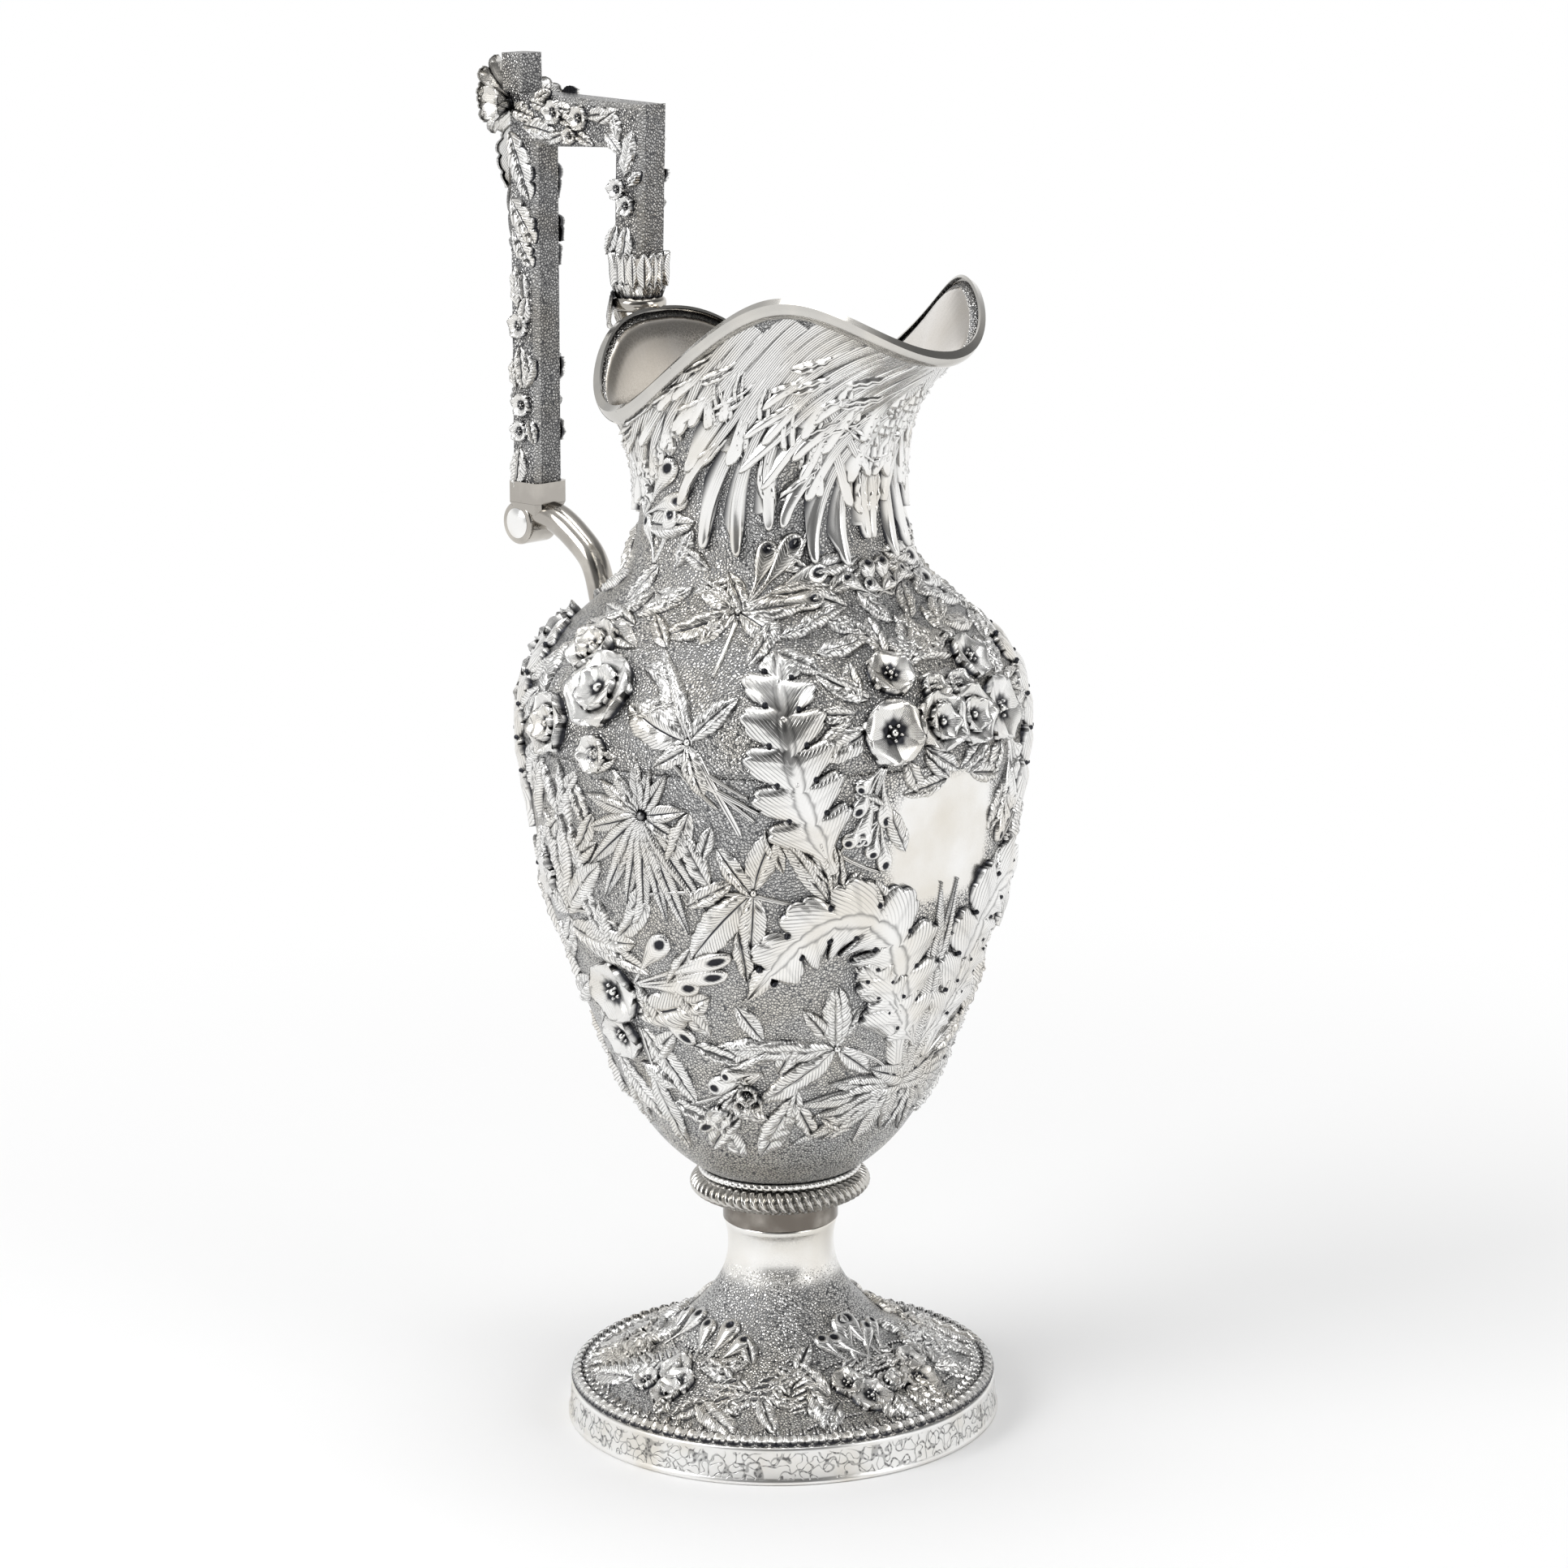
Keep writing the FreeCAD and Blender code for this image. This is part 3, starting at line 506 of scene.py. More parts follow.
class Relief:
    # everything that is chased up on one side of a wall, each motif a closed form; it is drawn in batches,
    # since every step in a large mesh takes long
    batch = 3000

    def __init__(self):
        self.done = []
        self.start()

    def start(self):
        self.bm = bmesh.new()
        self.grain = self.bm.verts.layers.float_vector.new("grain")
        self.tone = self.bm.verts.layers.float_color.new("tone")

    def close(self):
        self.done.append(meshOf(self.bm, "batch"))

    def sheet(self, seat, rows, columns, shape, sink=0.7, flare=0.3, spacing=1.1, thick=0.0):
        # shape gives across, along, lift, tone, veins and beads at shares s along and t across;
        # thick is for leaves that stand free, the others are filled down into the wall
        if len(self.bm.verts) > self.batch:
            self.close()
            self.start()
        grid = bmesh.ops.create_grid(self.bm, x_segments=columns, y_segments=rows, size=1)["verts"]
        under = list(dict.fromkeys(face for vert in grid for face in vert.link_faces))
        above = bmesh.ops.extrude_face_region(self.bm, geom=under, use_keep_orig=True)["geom"]
        above = [item for item in above if isinstance(item, bmesh.types.BMVert)]
        bmesh.ops.reverse_faces(self.bm, faces=under)
        for verts, isTop in ((grid, False), (above, True)):
            for vert in verts:
                t, s = vert.co.x, (vert.co.y + 1) / 2
                across, along, lift, tone, veins, beads, u, v = shape(s, t)
                if not isTop and thick:
                    lift -= thick
                elif not isTop:
                    across += flare * t**5
                    lift, tone = -sink, 0.0
                vert.co = seat.point(across, along, lift)
                vert[self.grain] = (u, v, spacing)
                vert[self.tone] = (tone, veins, beads, 1)

    def leaf(self, seat, length, width, bend=0, outline=pointed, lobes=0, depth=0.4, sweep=0.35, crown=1.5,
             edge=0.7, wave=0.4, teeth=0, veins=0.8, spacing=1.1, rows=None, columns=14, ripple=0.28, fold=0.8):
        # a leaf with a rib and side veins: crown is its height between them, edge its height at the rim
        rows = rows or max(12, min(90, int(length * 1.5) + lobes * 5))
        half = width / 2

        def shape(s, t):
            t = math.copysign(abs(t)**1.15, t)
            u = abs(t)
            side = 1 if t > 0 else -1
            span = max(0.03, outline(s))
            cut = 0.0
            if lobes:
                wavy = abs(math.sin(math.pi * (lobes * s + (0.25 if side > 0 else 0))))
                cut = 1 - wavy**0.55
                span *= 1 - depth * cut * smooth(s, 0.02, 0.1)
            if teeth:
                span *= 1 - 0.13 * ((s * teeth) % 1.0)
            x = half * span * t
            y = s * length + sweep * abs(x) * (1 - 0.5 * s)
            plump = math.sin(math.pi * min(1.0, u**0.85))
            lift = edge * (0.55 + 0.45 * u**2) + (crown - edge * 0.5) * plump * (0.35 + 0.65 * min(1, span))
            lift += 0.16 * crown * math.cos(math.tau * (lobes or 4) * s) * plump
            lift += wave * u**3 * math.sin(math.tau * (2.3 * s + 0.3 * side))
            lift += ripple * u * (1 - u) * 3.0 * math.sin(math.tau * (s * length - 0.8 * abs(x)) / 2.3)
            lift += fold * side * u * (1 - u) * 2.0
            lift *= smooth(s, -0.15, 0.2) * (1 - 0.35 * smooth(s, 0.75, 1.0))
            tone = 1 - 0.75 * math.exp(-(t / 0.07)**2) - 0.35 * cut * u**2
            px, py = bentLine(x, y, length, bend)
            return px, py, lift, tone, veins * smooth(u, 0.05, 0.3), 0.0, x, y

        self.sheet(seat, rows, columns, shape, spacing=spacing)

    def petal(self, seat, start, reach, width, low, high, cup, curl=0.6):
        # a petal that rises from low at its heart to high, with its sides cupped and its tip curled down
        def shape(s, t):
            x = width / 2 * rounded(s) * t
            y = start + reach * s * (1 - 0.10 * t * t)
            lift = low + (high - low) * smooth(s, 0.0, 0.75) - curl * smooth(s, 0.8, 1.0) + cup * t * t * s
            tone = 0.35 + 0.65 * smooth(s, 0.05, 0.45) - 0.35 * math.exp(-(t / 0.16)**2) * (1 - s)
            return x, y, lift, tone, 0.35, 0.0, x * 2.4, y

        self.sheet(seat, 9, 8, shape, flare=0.1, spacing=1.0)

    def knob(self, seat, radius, height, tone=1.0, grain=6):
        # a round bead, a berry or a dark eye
        def shape(s, t):
            y = -math.cos(math.pi * s)
            x = math.sqrt(max(0.0, 1 - y * y)) * t
            dome = math.sqrt(max(0.0, 1 - x * x - y * y))
            return x * radius, y * radius, 0.15 + height * dome, tone * (0.4 + 0.6 * dome), 0.0, 0.0, x, y

        self.sheet(seat, grain, grain, shape, flare=0.0)

    def rose(self, seat, radius, turn, petals=5, high=3.4):
        # two rings of cupped petals round a knob
        for ring, (share, lift, start) in enumerate(((1.0, high, 0.25), (0.62, high * 1.05, 0.1))):
            for k in range(petals):
                angle = turn + 360 * (k + 0.5 * ring) / petals
                self.petal(seat.moved(0, 0, angle), radius * start * share, radius * share * (1 - start),
                           radius * 1.3 * share, 0.5 + 0.8 * ring, lift * (0.85 + 0.15 * (k % 2)), 1.5, 1.6)
        self.knob(seat, radius * 0.15, high * 0.8, 0.9)

    def bloom(self, seat, radius, turn, high=2.6, petals=5):
        # open flower: broad flat petals round a cup with a button in it
        for k in range(petals):
            self.petal(seat.moved(0, 0, turn + 360 * k / petals), radius * 0.16, radius * 0.84, radius * 1.22,
                       0.6, high * (0.86 + 0.14 * (k % 2)), 1.0, 1.1)
        for k in range(petals):
            spot = seat.moved(0, 0, turn + 360 * (k + 0.5) / petals).moved(0, radius * 0.22)
            self.knob(spot, radius * 0.07, high * 0.7, 0.9, 3)
        self.knob(seat, radius * 0.13, high * 0.75, 1.0)

    def bud(self, seat, length, width, high=1.7, bend=0):
        # trumpet bud on its stalk, with a dark open mouth
        def shape(s, t):
            body = 0.16 + 0.84 * smooth(s, 0.3, 0.8)
            body *= math.sqrt(max(0.0, 1 - (max(0.0, s - 0.82) / 0.185)**2))
            x = width / 2 * max(body, 0.03) * t
            hollow = math.exp(-((s - 0.87) / 0.07)**2 - (t / 0.42)**2)
            lift = 0.35 + high * body * math.sqrt(max(0.0, 1 - 0.8 * t * t)) - 1.1 * hollow
            tone = 1 - 1.3 * hollow - 0.5 * math.exp(-((abs(t) - 0.45) / 0.1)**2) * (1 - smooth(s, 0.6, 0.8))
            px, py = bentLine(x, s * length, length, bend)
            return px, py, lift, max(0.0, tone), 0.3, 0.0, x, s * length

        self.sheet(seat, 22, 8, shape, flare=0.15, spacing=1.2)

    def stem(self, seat, length, width, bend):
        # a round stalk that tapers by a third
        def shape(s, t):
            x = width / 2 * (1 - 0.3 * s) * t
            lift = 0.95 * math.sqrt(max(0.05, 1 - t * t)) - 0.25 * math.exp(-(t / 0.25)**2)
            px, py = bentLine(x, s * length, length, bend)
            return px, py, lift, 1 - 0.6 * math.exp(-(t / 0.2)**2), 0.0, 0.0, x, s * length

        self.sheet(seat, max(6, int(length / 1.3)), 6, shape, flare=0.1)

    def spray(self, seat, buds):
        # buds that fan out from one stalk; each is its turn, length, width and bend
        for turn, length, width, bend in buds:
            self.bud(seat.moved(0, 0, turn), length, width, bend=bend)

    def star(self, seat, leaves):
        # leaves round a node; each is its turn, length, width and bend
        for turn, length, width, bend in leaves:
            self.leaf(seat.moved(0, 0, turn).moved(0, 0.6), length, width, bend, teeth=7)
        self.knob(seat, 1.1, 1.5)

    def fan(self, seat, blades):
        # narrow pointed blades round a flat button; each is its turn, length and width
        for turn, length, width in blades:
            self.leaf(seat.moved(0, 0, turn).moved(0, 1.4), length, width, outline=lance, crown=1.2, edge=1.0,
                      sweep=0.3, wave=0.1, veins=1.0, spacing=0.85, columns=8)
        self.knob(seat, 1.5, 1.4, 0.6)

    def plume(self, seat, length, width, bend, tips, high=1.5):
        # a hatched band that sweeps down from the rim, parts into smooth lobes and sheds curls from its sides
        def shape(s, t):
            lobe = min(tips - 1, int((t + 1) / 2 * tips))
            middle = (2 * lobe + 1) / tips - 1
            off = min(1.0, abs(t - middle) * tips)
            rib = math.sqrt(1 - off * off)
            free = smooth(s, 0.42, 0.8)
            half = width / 2 * (0.62 + 0.26 * smooth(s, 0.0, 0.6) + 0.30 * smooth(s, 0.6, 1.0))
            x = half * (t + (middle - t) * 0.22 * free)
            y = length * s * (0.84 - 0.20 * abs(middle) + 0.16 * rib)
            lift = 0.3 + high * (0.35 + 0.45 * rib) * smooth(s, -0.1, 0.6) + rib * smooth(s, 0.6, 0.92)
            lift -= 1.9 * free * smooth(off, 0.72, 1.0)
            px, py = bentLine(x, y, length, bend + 14 * middle * smooth(s, 0.4, 1.0))
            tone = 1 - 0.8 * free * smooth(off, 0.7, 1.0)
            hatched = 1 - smooth(s, 0.62, 0.85)
            return px, py, lift, tone, hatched, hatched * smooth(off, 0.8, 0.95), 0.0, x

        self.sheet(seat, max(24, int(length * 0.8)), 9 * tips, shape, spacing=0.62)
        for side in (-1, 1):
            for s in (0.36, 0.56):
                spot = seat.moved(*bentLine(side * width * 0.36, length * s, length, bend), bend * s + side * 12)
                self.leaf(spot, 7 + 0.12 * length, width * 0.30, side * 34, outline=petalled, crown=2.3, edge=0.8,
                          sweep=0.0, wave=0.0, veins=0.0, rows=16, columns=8, ripple=0.0, fold=0.3)

    def frond(self, seat, length, width, arch, curl, lobes, outline=pointed):
        # a leaf that stands free: it arches away from its seat and its tip curls out
        def shape(s, t):
            cut = 1 - abs(math.sin(math.pi * lobes * s))**0.5
            x = width / 2 * max(0.05, outline(s)) * (1 - 0.3 * cut * abs(t)) * t
            lift = arch * math.sin(math.pi * min(1, s * 1.1)) + curl * smooth(s, 0.55, 1.0) - 0.9 * t * t
            tone = 1 - 0.7 * math.exp(-(t / 0.1)**2) - 0.3 * cut * t * t
            return x, s * length, lift, tone, 0.7, 0.0, x, s * length

        self.sheet(seat, max(14, int(length)), 10, shape, spacing=0.9, thick=0.8)

    def freePetal(self, seat, start, reach, width, high, curl=0.5):
        # a petal that stands free of its wall
        def shape(s, t):
            x = (start * 0.6 + width / 2 * rounded(s)) * t if s < 0.15 else width / 2 * rounded(s) * t
            lift = high * smooth(s, -0.1, 0.95) - curl * smooth(s, 0.85, 1.0) + 0.5 * t * t
            tone = 0.45 + 0.55 * smooth(s, 0.1, 0.5)
            return x, start + reach * s, lift, tone, 0.5, 0.0, x * 2, reach * s

        self.sheet(seat, 9, 8, shape, thick=0.6)

    def mesh(self, name):
        self.close()
        whole = bmesh.new()
        for mesh in self.done:
            whole.from_mesh(mesh)
            bpy.data.meshes.remove(mesh)
        return meshOf(whole, name)


def bothSides(name, relief, replaced=()):
    # the near side as drawn, and its mirror image for the far side
    near = relief.mesh(name + "_near")
    far = near.copy()
    far.name = name + "_far"
    far.transform(Matrix.Scale(-1, 4, (0, 1, 0)))
    far.flip_normals()
    print(name, "faces:", len(near.polygons))
    finished(near.name, near, materials["leaf"], replaced)
    finished(far.name, far, materials["leaf"])


# the body's ground
bodySkin = {
    "columns": 360,
    "step": 1.3,                # mm between rings of the bowl's outside
    "insideStep": 7.0,
    "neckRings": (104, 30),     # rings of the neck's outside and inside
    "sheet": 1.2,               # mm of wall
    "lipGap": 0.05,             # mm that the skin stops short of the lip
    "heights": (74.0, 344),     # felt from inside, between these heights
    "rays": 1080,
    "cartouche": (2.0, 189.0, 17.5, 21.5),   # angle, height, half width in degrees, half height
}
bodyWall = RoundWall(("bowl", "shoulder_and_neck"), (4, bodySkin["heights"][0]), (4, bodySkin["heights"][1]), (1, 0),
                     bodySkin["rays"], bodySkin["sheet"])
print("body wall read:", round(bodyWall.length(0)), "mm")


def besideCartouche(finish, grain):
    # 1 on the bare polished panel under the spout; the punch marks thin out round it
    x, y, z = finish.parts(finish.places())
    centre, height, wide, tall = bodySkin["cartouche"]
    across = (y / (73.0 * mm * math.radians(wide)) + math.radians(centre) / math.radians(wide)).size()
    up = ((z - height * mm) / (tall * mm)).size()
    far = (across ** 4.0 + up ** 4.0) ** 0.25
    front = x.step(0.0, 0.02)
    loose = grain.step(0.25, 0.0) * 0.22
    return (far + loose).step(1.12, 0.98) * front


materials["body ground"] = mattedSilver("matted body ground", besideCartouche, 0.55)


def makeBowl():
    skin = bodySkin
    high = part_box("bowl")[1]
    top = high.z / mm
    r, z = bodyWall.rows[0][0]
    rise, profile = 0.0, [(0, z - 2.4), (r - 3, z - 2.2)]
    while True:
        r, z = bodyWall.spot(0, rise)[:2]
        if z > top - 0.5:
            break
        profile.append((r, z))
        rise += skin["step"]
    profile += [(high.x / mm, top), (high.x / mm - skin["sheet"], top)]
    while rise > 4:
        rise -= skin["insideStep"]
        r, z, outR, outZ = bodyWall.spot(0, max(rise, 1))
        profile.append((r - outR * skin["sheet"], z - outZ * skin["sheet"]))
    profile.append((0, profile[-1][1] - 0.4))
    bowl = meshOf(turned(profile, skin["columns"], 0.02), "bowl_skin")
    finished("bowl_skin", bowl, materials["body ground"], ("bowl",))


def makeNeck():
    # outside from the belly up to the lip, over its edge and down the inside
    skin = bodySkin
    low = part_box("shoulder_and_neck")[0].z / mm
    start = bodyWall.rise(0, low)
    outer, inner = skin["neckRings"]
    bm = bmesh.new()
    bmesh.ops.create_grid(bm, x_segments=skin["columns"], y_segments=outer + inner, size=1)
    for vert in bm.verts:
        around = 180 * (vert.co.x + 1)
        row = round((vert.co.y + 1) / 2 * (outer + inner))
        length = bodyWall.length(around) - skin["lipGap"]
        share = row / outer if row <= outer else 1 - (row - outer) / inner
        vert.co = bodyWall.place(around, start + (length - start) * share, -skin["sheet"] if row > outer else 0)
        if share == 0:
            vert.co.z = low * mm
    bmesh.ops.remove_doubles(bm, verts=bm.verts[:], dist=0.02 * mm)
    rims = [edge for edge in bm.edges if edge.is_boundary]
    bmesh.ops.bridge_loops(bm, edges=rims)
    bmesh.ops.recalc_face_normals(bm, faces=bm.faces[:])
    finished("neck_skin", meshOf(bm, "neck_skin"), materials["body ground"], ("shoulder_and_neck",))


makeBowl()
makeNeck()
print("body ground made")


# chased work on the bowl and shoulder
# leaves: angle from the spout, height, turn, length, width, bend
plainLeaves = [
    (107, 163, -72, 26, 9, 10), (107, 163, -5, 31, 7, -10), (107, 163, 43, 29, 9, 10), (108, 159, 98, 30, 10, -16),
    (107, 119, 143, 28, 7, 10), (89, 118, 174, 31, 7, 8), (100, 116, -160, 24, 6, -10), (56, 115, -129, 11, 4.5, 0),
    (58, 114, -151, 14, 4.5, 0), (54, 116, -70, 7, 4, 0), (39, 112, -157, 23, 8, 8), (39, 110, 158, 15, 6, 0),
    (39, 114, -175, 15, 5, 10), (28, 127, -10, 21, 6, 8), (30, 130, -32, 14, 5, -10), (28, 130, 23, 12, 5, 10),
    (33, 174, -36, 25, 6, 12), (32, 174, -17, 23, 5, 8), (30, 174, -5, 16, 5, 0), (30, 175, 41, 9, 4.5, 0),
    (22, 258, -100, 18, 8, 10), (18, 252, -60, 16, 7, 0), (28, 250, 120, 14, 6, 0), (12, 256, 150, 14, 6, 0),
    (30, 262, 80, 16, 7, 0), (84, 180, 30, 13, 5, 0), (63, 219, -29, 30, 8, 8), (63, 219, -120, 13, 6, 0),
    (27, 225, -130, 14, 7, 10), (26, 227, -86, 11, 6, 0), (25, 229, -4, 13, 6, 10), (15, 213, 155, 11, 6, 0),
    (10, 216, 128, 15, 6, -10), (-3, 206, 50, 12, 5, 0), (-4, 206, 101, 15, 6, 0), (-14, 186, 26, 16, 6, 0),
    (-14, 160, 20, 22, 7, 10), (-10, 144, 60, 20, 7, 0), (57, 252, -59, 15, 6, 0), (44, 251, -164, 19, 6, 20),
    (37, 248, 61, 16, 6, 10), (33, 242, 80, 17, 7, -8), (14, 239, 4, 16, 6, 0), (9, 237, 61, 18, 7, 0),
    (8, 231, 80, 18, 6, 0), (109, 245, 44, 17, 6, 0), (92, 247, -75, 20, 7, -10), (115, 227, -131, 19, 7, 0),
    (115, 234, -124, 16, 6, 0), (91, 157, -3, 14, 5, 0), (85, 152, -80, 16, 6, 10), (76, 243, -40, 14, 6, 0),
    (80, 238, 100, 12, 6, 0), (78, 226, 60, 14, 6, 10), (72, 150, 160, 18, 6, -10), (66, 160, -150, 16, 6, 10),
    (70, 128, 110, 15, 6, 0), (56, 142, 150, 14, 6, 0), (72, 108, 150, 15, 6, 0), (18, 152, -20, 14, 5, 0),
    (45, 200, 30, 15, 6, 0), (47, 196, 160, 14, 5, 0), (20, 200, -60, 11, 5, 0), (48, 228, 90, 13, 6, 0),
    (47, 232, 30, 12, 5, 0), (86, 262, 20, 12, 5, 0), (70, 262, -60, 14, 5, 0), (75, 256, 70, 13, 5, 0),
    (30, 262, -60, 14, 6, 0), (24, 256, 60, 14, 6, 0), (96, 205, 160, 14, 6, 0), (90, 196, -150, 15, 6, 10),
    (62, 186, 20, 11, 5, 0), (100, 180, 60, 14, 6, 0), (122, 228, 30, 20, 7, 10), (130, 256, -40, 18, 7, 0),
    (138, 250, 50, 18, 7, 10), (150, 254, -20, 16, 6, 0), (162, 258, 60, 16, 6, 0), (172, 246, -40, 18, 7, 0),
    (140, 208, 120, 20, 7, 10), (150, 206, -150, 20, 7, 0), (160, 196, 30, 22, 8, 10), (166, 182, -60, 20, 7, 0),
    (144, 180, 40, 20, 7, 0), (140, 166, 150, 22, 8, 10), (128, 150, -30, 24, 8, 10), (124, 132, 60, 22, 8, 0),
    (136, 126, -50, 22, 8, 10), (140, 108, 20, 20, 7, 0), (156, 106, -40, 18, 7, 0), (170, 100, 30, 16, 6, 0),
    (176, 170, 170, 18, 7, 0), (174, 226, 120, 16, 6, 0), (124, 100, 10, 18, 7, 0), (150, 92, 60, 14, 6, 0),
    (130, 206, -170, 24, 7, 10), (120, 204, 60, 18, 6, 0), (117, 245, 88, 32, 9, 20), (94, 212, 94, 16, 8, -20),
    (111, 226, -35, 17, 8, 20), (112, 210, -150, 16, 7, 0), (64, 200, -160, 18, 7, 10), (58, 190, 150, 17, 6.5, -8),
    (60, 178, -30, 20, 7, 10), (66, 172, 60, 16, 6, 0), (54, 166, 170, 16, 6, 8), (76, 172, -140, 18, 7, 10),
    (82, 164, 20, 15, 6, 0), (96, 176, -20, 16, 6, 8), (88, 120, 40, 18, 6.5, 10), (80, 132, -20, 16, 6, 0),
    (64, 132, -40, 16, 6, 8), (60, 122, 60, 14, 5.5, 0), (46, 130, -100, 15, 6, 0), (80, 112, -60, 14, 6, 0),
    (48, 104, -70, 12, 5, 0), (30, 104, 120, 12, 5, 0), (66, 244, 20, 15, 6, 0), (62, 262, 150, 14, 5.5, 8),
    (40, 262, 30, 13, 5.5, 0), (96, 262, -150, 15, 6, 0), (107.5, 164, -50, 23, 6.5, 15),
    (107, 165, 22, 29, 7, -25), (105, 158, 96, 30, 9.5, 20), (107, 162, -155, 19, 6, 10),
    (31.5, 177, -48, 24, 5, 10), (31.5, 178, -3, 17, 4.5, -10), (87, 131, 148, 27, 8, 15),
    (22, 230, -60, 16, 7, 10), (23, 223, -120, 18, 9, 15), (8, 238, 32, 15, 7, 0), (3, 238, 62, 19, 7, 10),
    (42, 111, -167, 24, 9, 10), (45, 120, 25, 12, 6, 0), (117, 188, 20, 24, 6, 20), (117, 186, -170, 22, 6, -20),
    (99, 190, -10, 20, 5, 10), (97, 176, 170, 17, 5, -10), (94, 249, 44, 18, 7, 10), (105, 247, 33, 15, 6, 10),
    (92, 255, 106, 11, 7, 0), (13, 242, -35, 16, 6, 0), (6, 240, 30, 15, 7, 0), (46, 243, 110, 17, 7, 15),
    (43, 246, 70, 15, 5, -10), (74, 92, 30, 20, 7, 20), (95, 100, -25, 22, 7, -15), (60, 90, -20, 14, 6, 10),
    (25, 96, 20, 12, 6, 0), (108, 118, 10, 20, 7, 20), (114, 137, -20, 22, 7, 15), (118, 150, 60, 16, 6, 0),
    (83, 108, 120, 16, 6, -15),
]
# node leaves: the node's angle and height, then each leaf's turn, length, width and bend
leafStars = [
    (56.5, 252, [(-121, 23, 9, 12), (-52, 15, 6.5, 0), (86, 22, 8, -12), (123, 16, 9, 10)]),
    (64, 220, [(-75, 21, 12, 22), (-30, 30, 7.5, 12), (41, 18, 7, 8), (168, 15, 7, -10)]),
    (50, 177, [(10, 20, 9, 25), (-131, 28, 11.5, -18), (-178, 19, 8.5, 6)]),
    (27.5, 127, [(-8, 21, 9.5, 8), (-92, 34, 8, 10), (-137, 28, 8.5, 12), (132, 14, 7, 0)]),
    (104, 192, [(-130, 18, 6, 0), (35, 20, 6, 10), (-20, 16, 6, 0)]),
]
# stems: angle, height, turn, length, width, bend
stems = [
    (66, 215, 126, 27, 1.6, 6), (64, 215, 121, 20, 1.4, 0), (68, 215, 138, 19, 1.4, -6),
    (105, 200, 170, 30, 1.5, 10), (56.6, 250, -173, 20, 1.5, 8), (50, 176.5, -84, 33, 1.5, -18),
    (50, 176.5, 103, 20, 1.5, 6), (62, 217, 150, 26, 2.4, 6), (61, 209, 116, 18, 2.0, 4),
    (26.4, 126.7, 100, 24, 1.4, 50), (38, 196, 140, 26, 1.6, -30), (107, 164, 75, 24, 1.5, 30),
    (116, 274, 38, 10, 1.3, 0), (88, 131, -175, 30, 1.3, -14), (50, 120, -130, 26, 1.3, 20),
    (20, 212, -160, 34, 1.2, 20),
]
# sprays: angle, height, then each bud's turn, length, width and bend
budSprays = [
    (86, 145, [(38, 24, 6.5, 8), (66, 37, 5, 6), (77, 33, 5, 0), (87, 23, 5.5, -8), (132, 24, 5, 10)]),
    (54, 254, [(20, 20, 6, -6), (38, 25, 7, -8), (62, 25, 7, 6), (82, 22, 6.5, 10)]),
    (116, 274, [(42, 27, 6, 8), (5, 17, 4.5, -8), (64, 23, 5.5, 14), (-35, 15, 4.5, -10)]),
    (-4, 254, [(0, 12, 5.5, 0), (-60, 10, 5, 0), (50, 12, 5, 0)]),
    (50, 120, [(-115, 17, 6, 10), (-140, 31, 5, 0), (-95, 12, 5, 0)]),
    (100, 262, [(20, 18, 6, 0), (-30, 15, 5, 0)]),
    (21, 212, [(-131, 10, 4.5, 0), (-150, 16, 4.5, 0), (-166, 24, 4.5, 6), (175, 18, 4.5, 0)]),
    (21, 197, [(-140, 9, 4.2, 0), (-168, 12, 4.5, 0), (170, 16, 4.5, 6), (-120, 13, 4.5, -6)]),
]
roses = [
    (90, 231, 11.6, 12), (101.5, 240, 8.6, 40), (105, 219, 9.0, 0), (5, 222, 8.6, 20), (147, 236, 10, 30),
    (158, 222, 8.6, 0),
]
blooms = [
    (94.5, 141.5, 10.2, 10), (98, 126.5, 8.0, 30), (17.6, 221, 9.8, 0), (14.6, 235.5, 7.4, 20), (88, 214, 5.6, 10),
    (-4, 230, 4.6, 0), (114, 172, 6.0, 0), (66, 105, 4.0, 0), (139, 224, 8.6, 12), (150, 130, 8.0, 40),
    (166, 244, 5.4, 0), (55, 113, 3.2, 0), (57, 110, 3.0, 30), (53, 110.5, 2.8, 10), (172, 206, 7.0, 0),
]
palmFan = (75.7, 198, [(-35, 14, 4.5), (-3, 15, 4.5), (-57, 15, 4.5), (-79, 19, 5), (-108, 21, 5), (-130, 26, 5.5),
                       (-149, 30, 5.5), (-164, 27, 5), (-176, 32, 5.5), (171, 30, 5), (162, 35, 5.5), (147, 31, 5.5),
                       (120, 16, 4.5), (80, 13, 5), (35, 14, 4.5), (15, 13, 4)])
baseBlades = (4, 112, [(-97, 29, 6), (-81, 21, 5.5), (-127, 31, 6), (-136, 24, 5.5), (-163, 21, 5.5), (-110, 24, 5),
                       (174, 17, 5), (69, 17, 7), (7, 65, 6), (10, 48, 6.5), (27, 40, 6.5), (-5, 34, 5), (95, 16, 6)])
# great leaves: angle, height, turn, length, width, bend and the shares it lies between, pairs of lobes
greatLeaves = [
    (31, 180, -24, 77, 26, 34, 0.1, 1.0, 6), (5, 116, -13, 112, 27, -138, 0.3, 0.82, 8),
    (0, 124, 34, 47, 15, 12, 0.0, 1.0, 5), (128, 180, -8, 72, 25, 12, 0.1, 1.0, 6),
    (170, 118, 6, 96, 25, 110, 0.3, 0.85, 7), (152, 150, -20, 50, 16, -20, 0.1, 1.0, 5),
]
berries = [
    (65.5, 105.5), (67, 103.8), (64.5, 103.2), (-2, 224), (-3.5, 226), (-2.5, 221.5), (-4.5, 223.5),
]


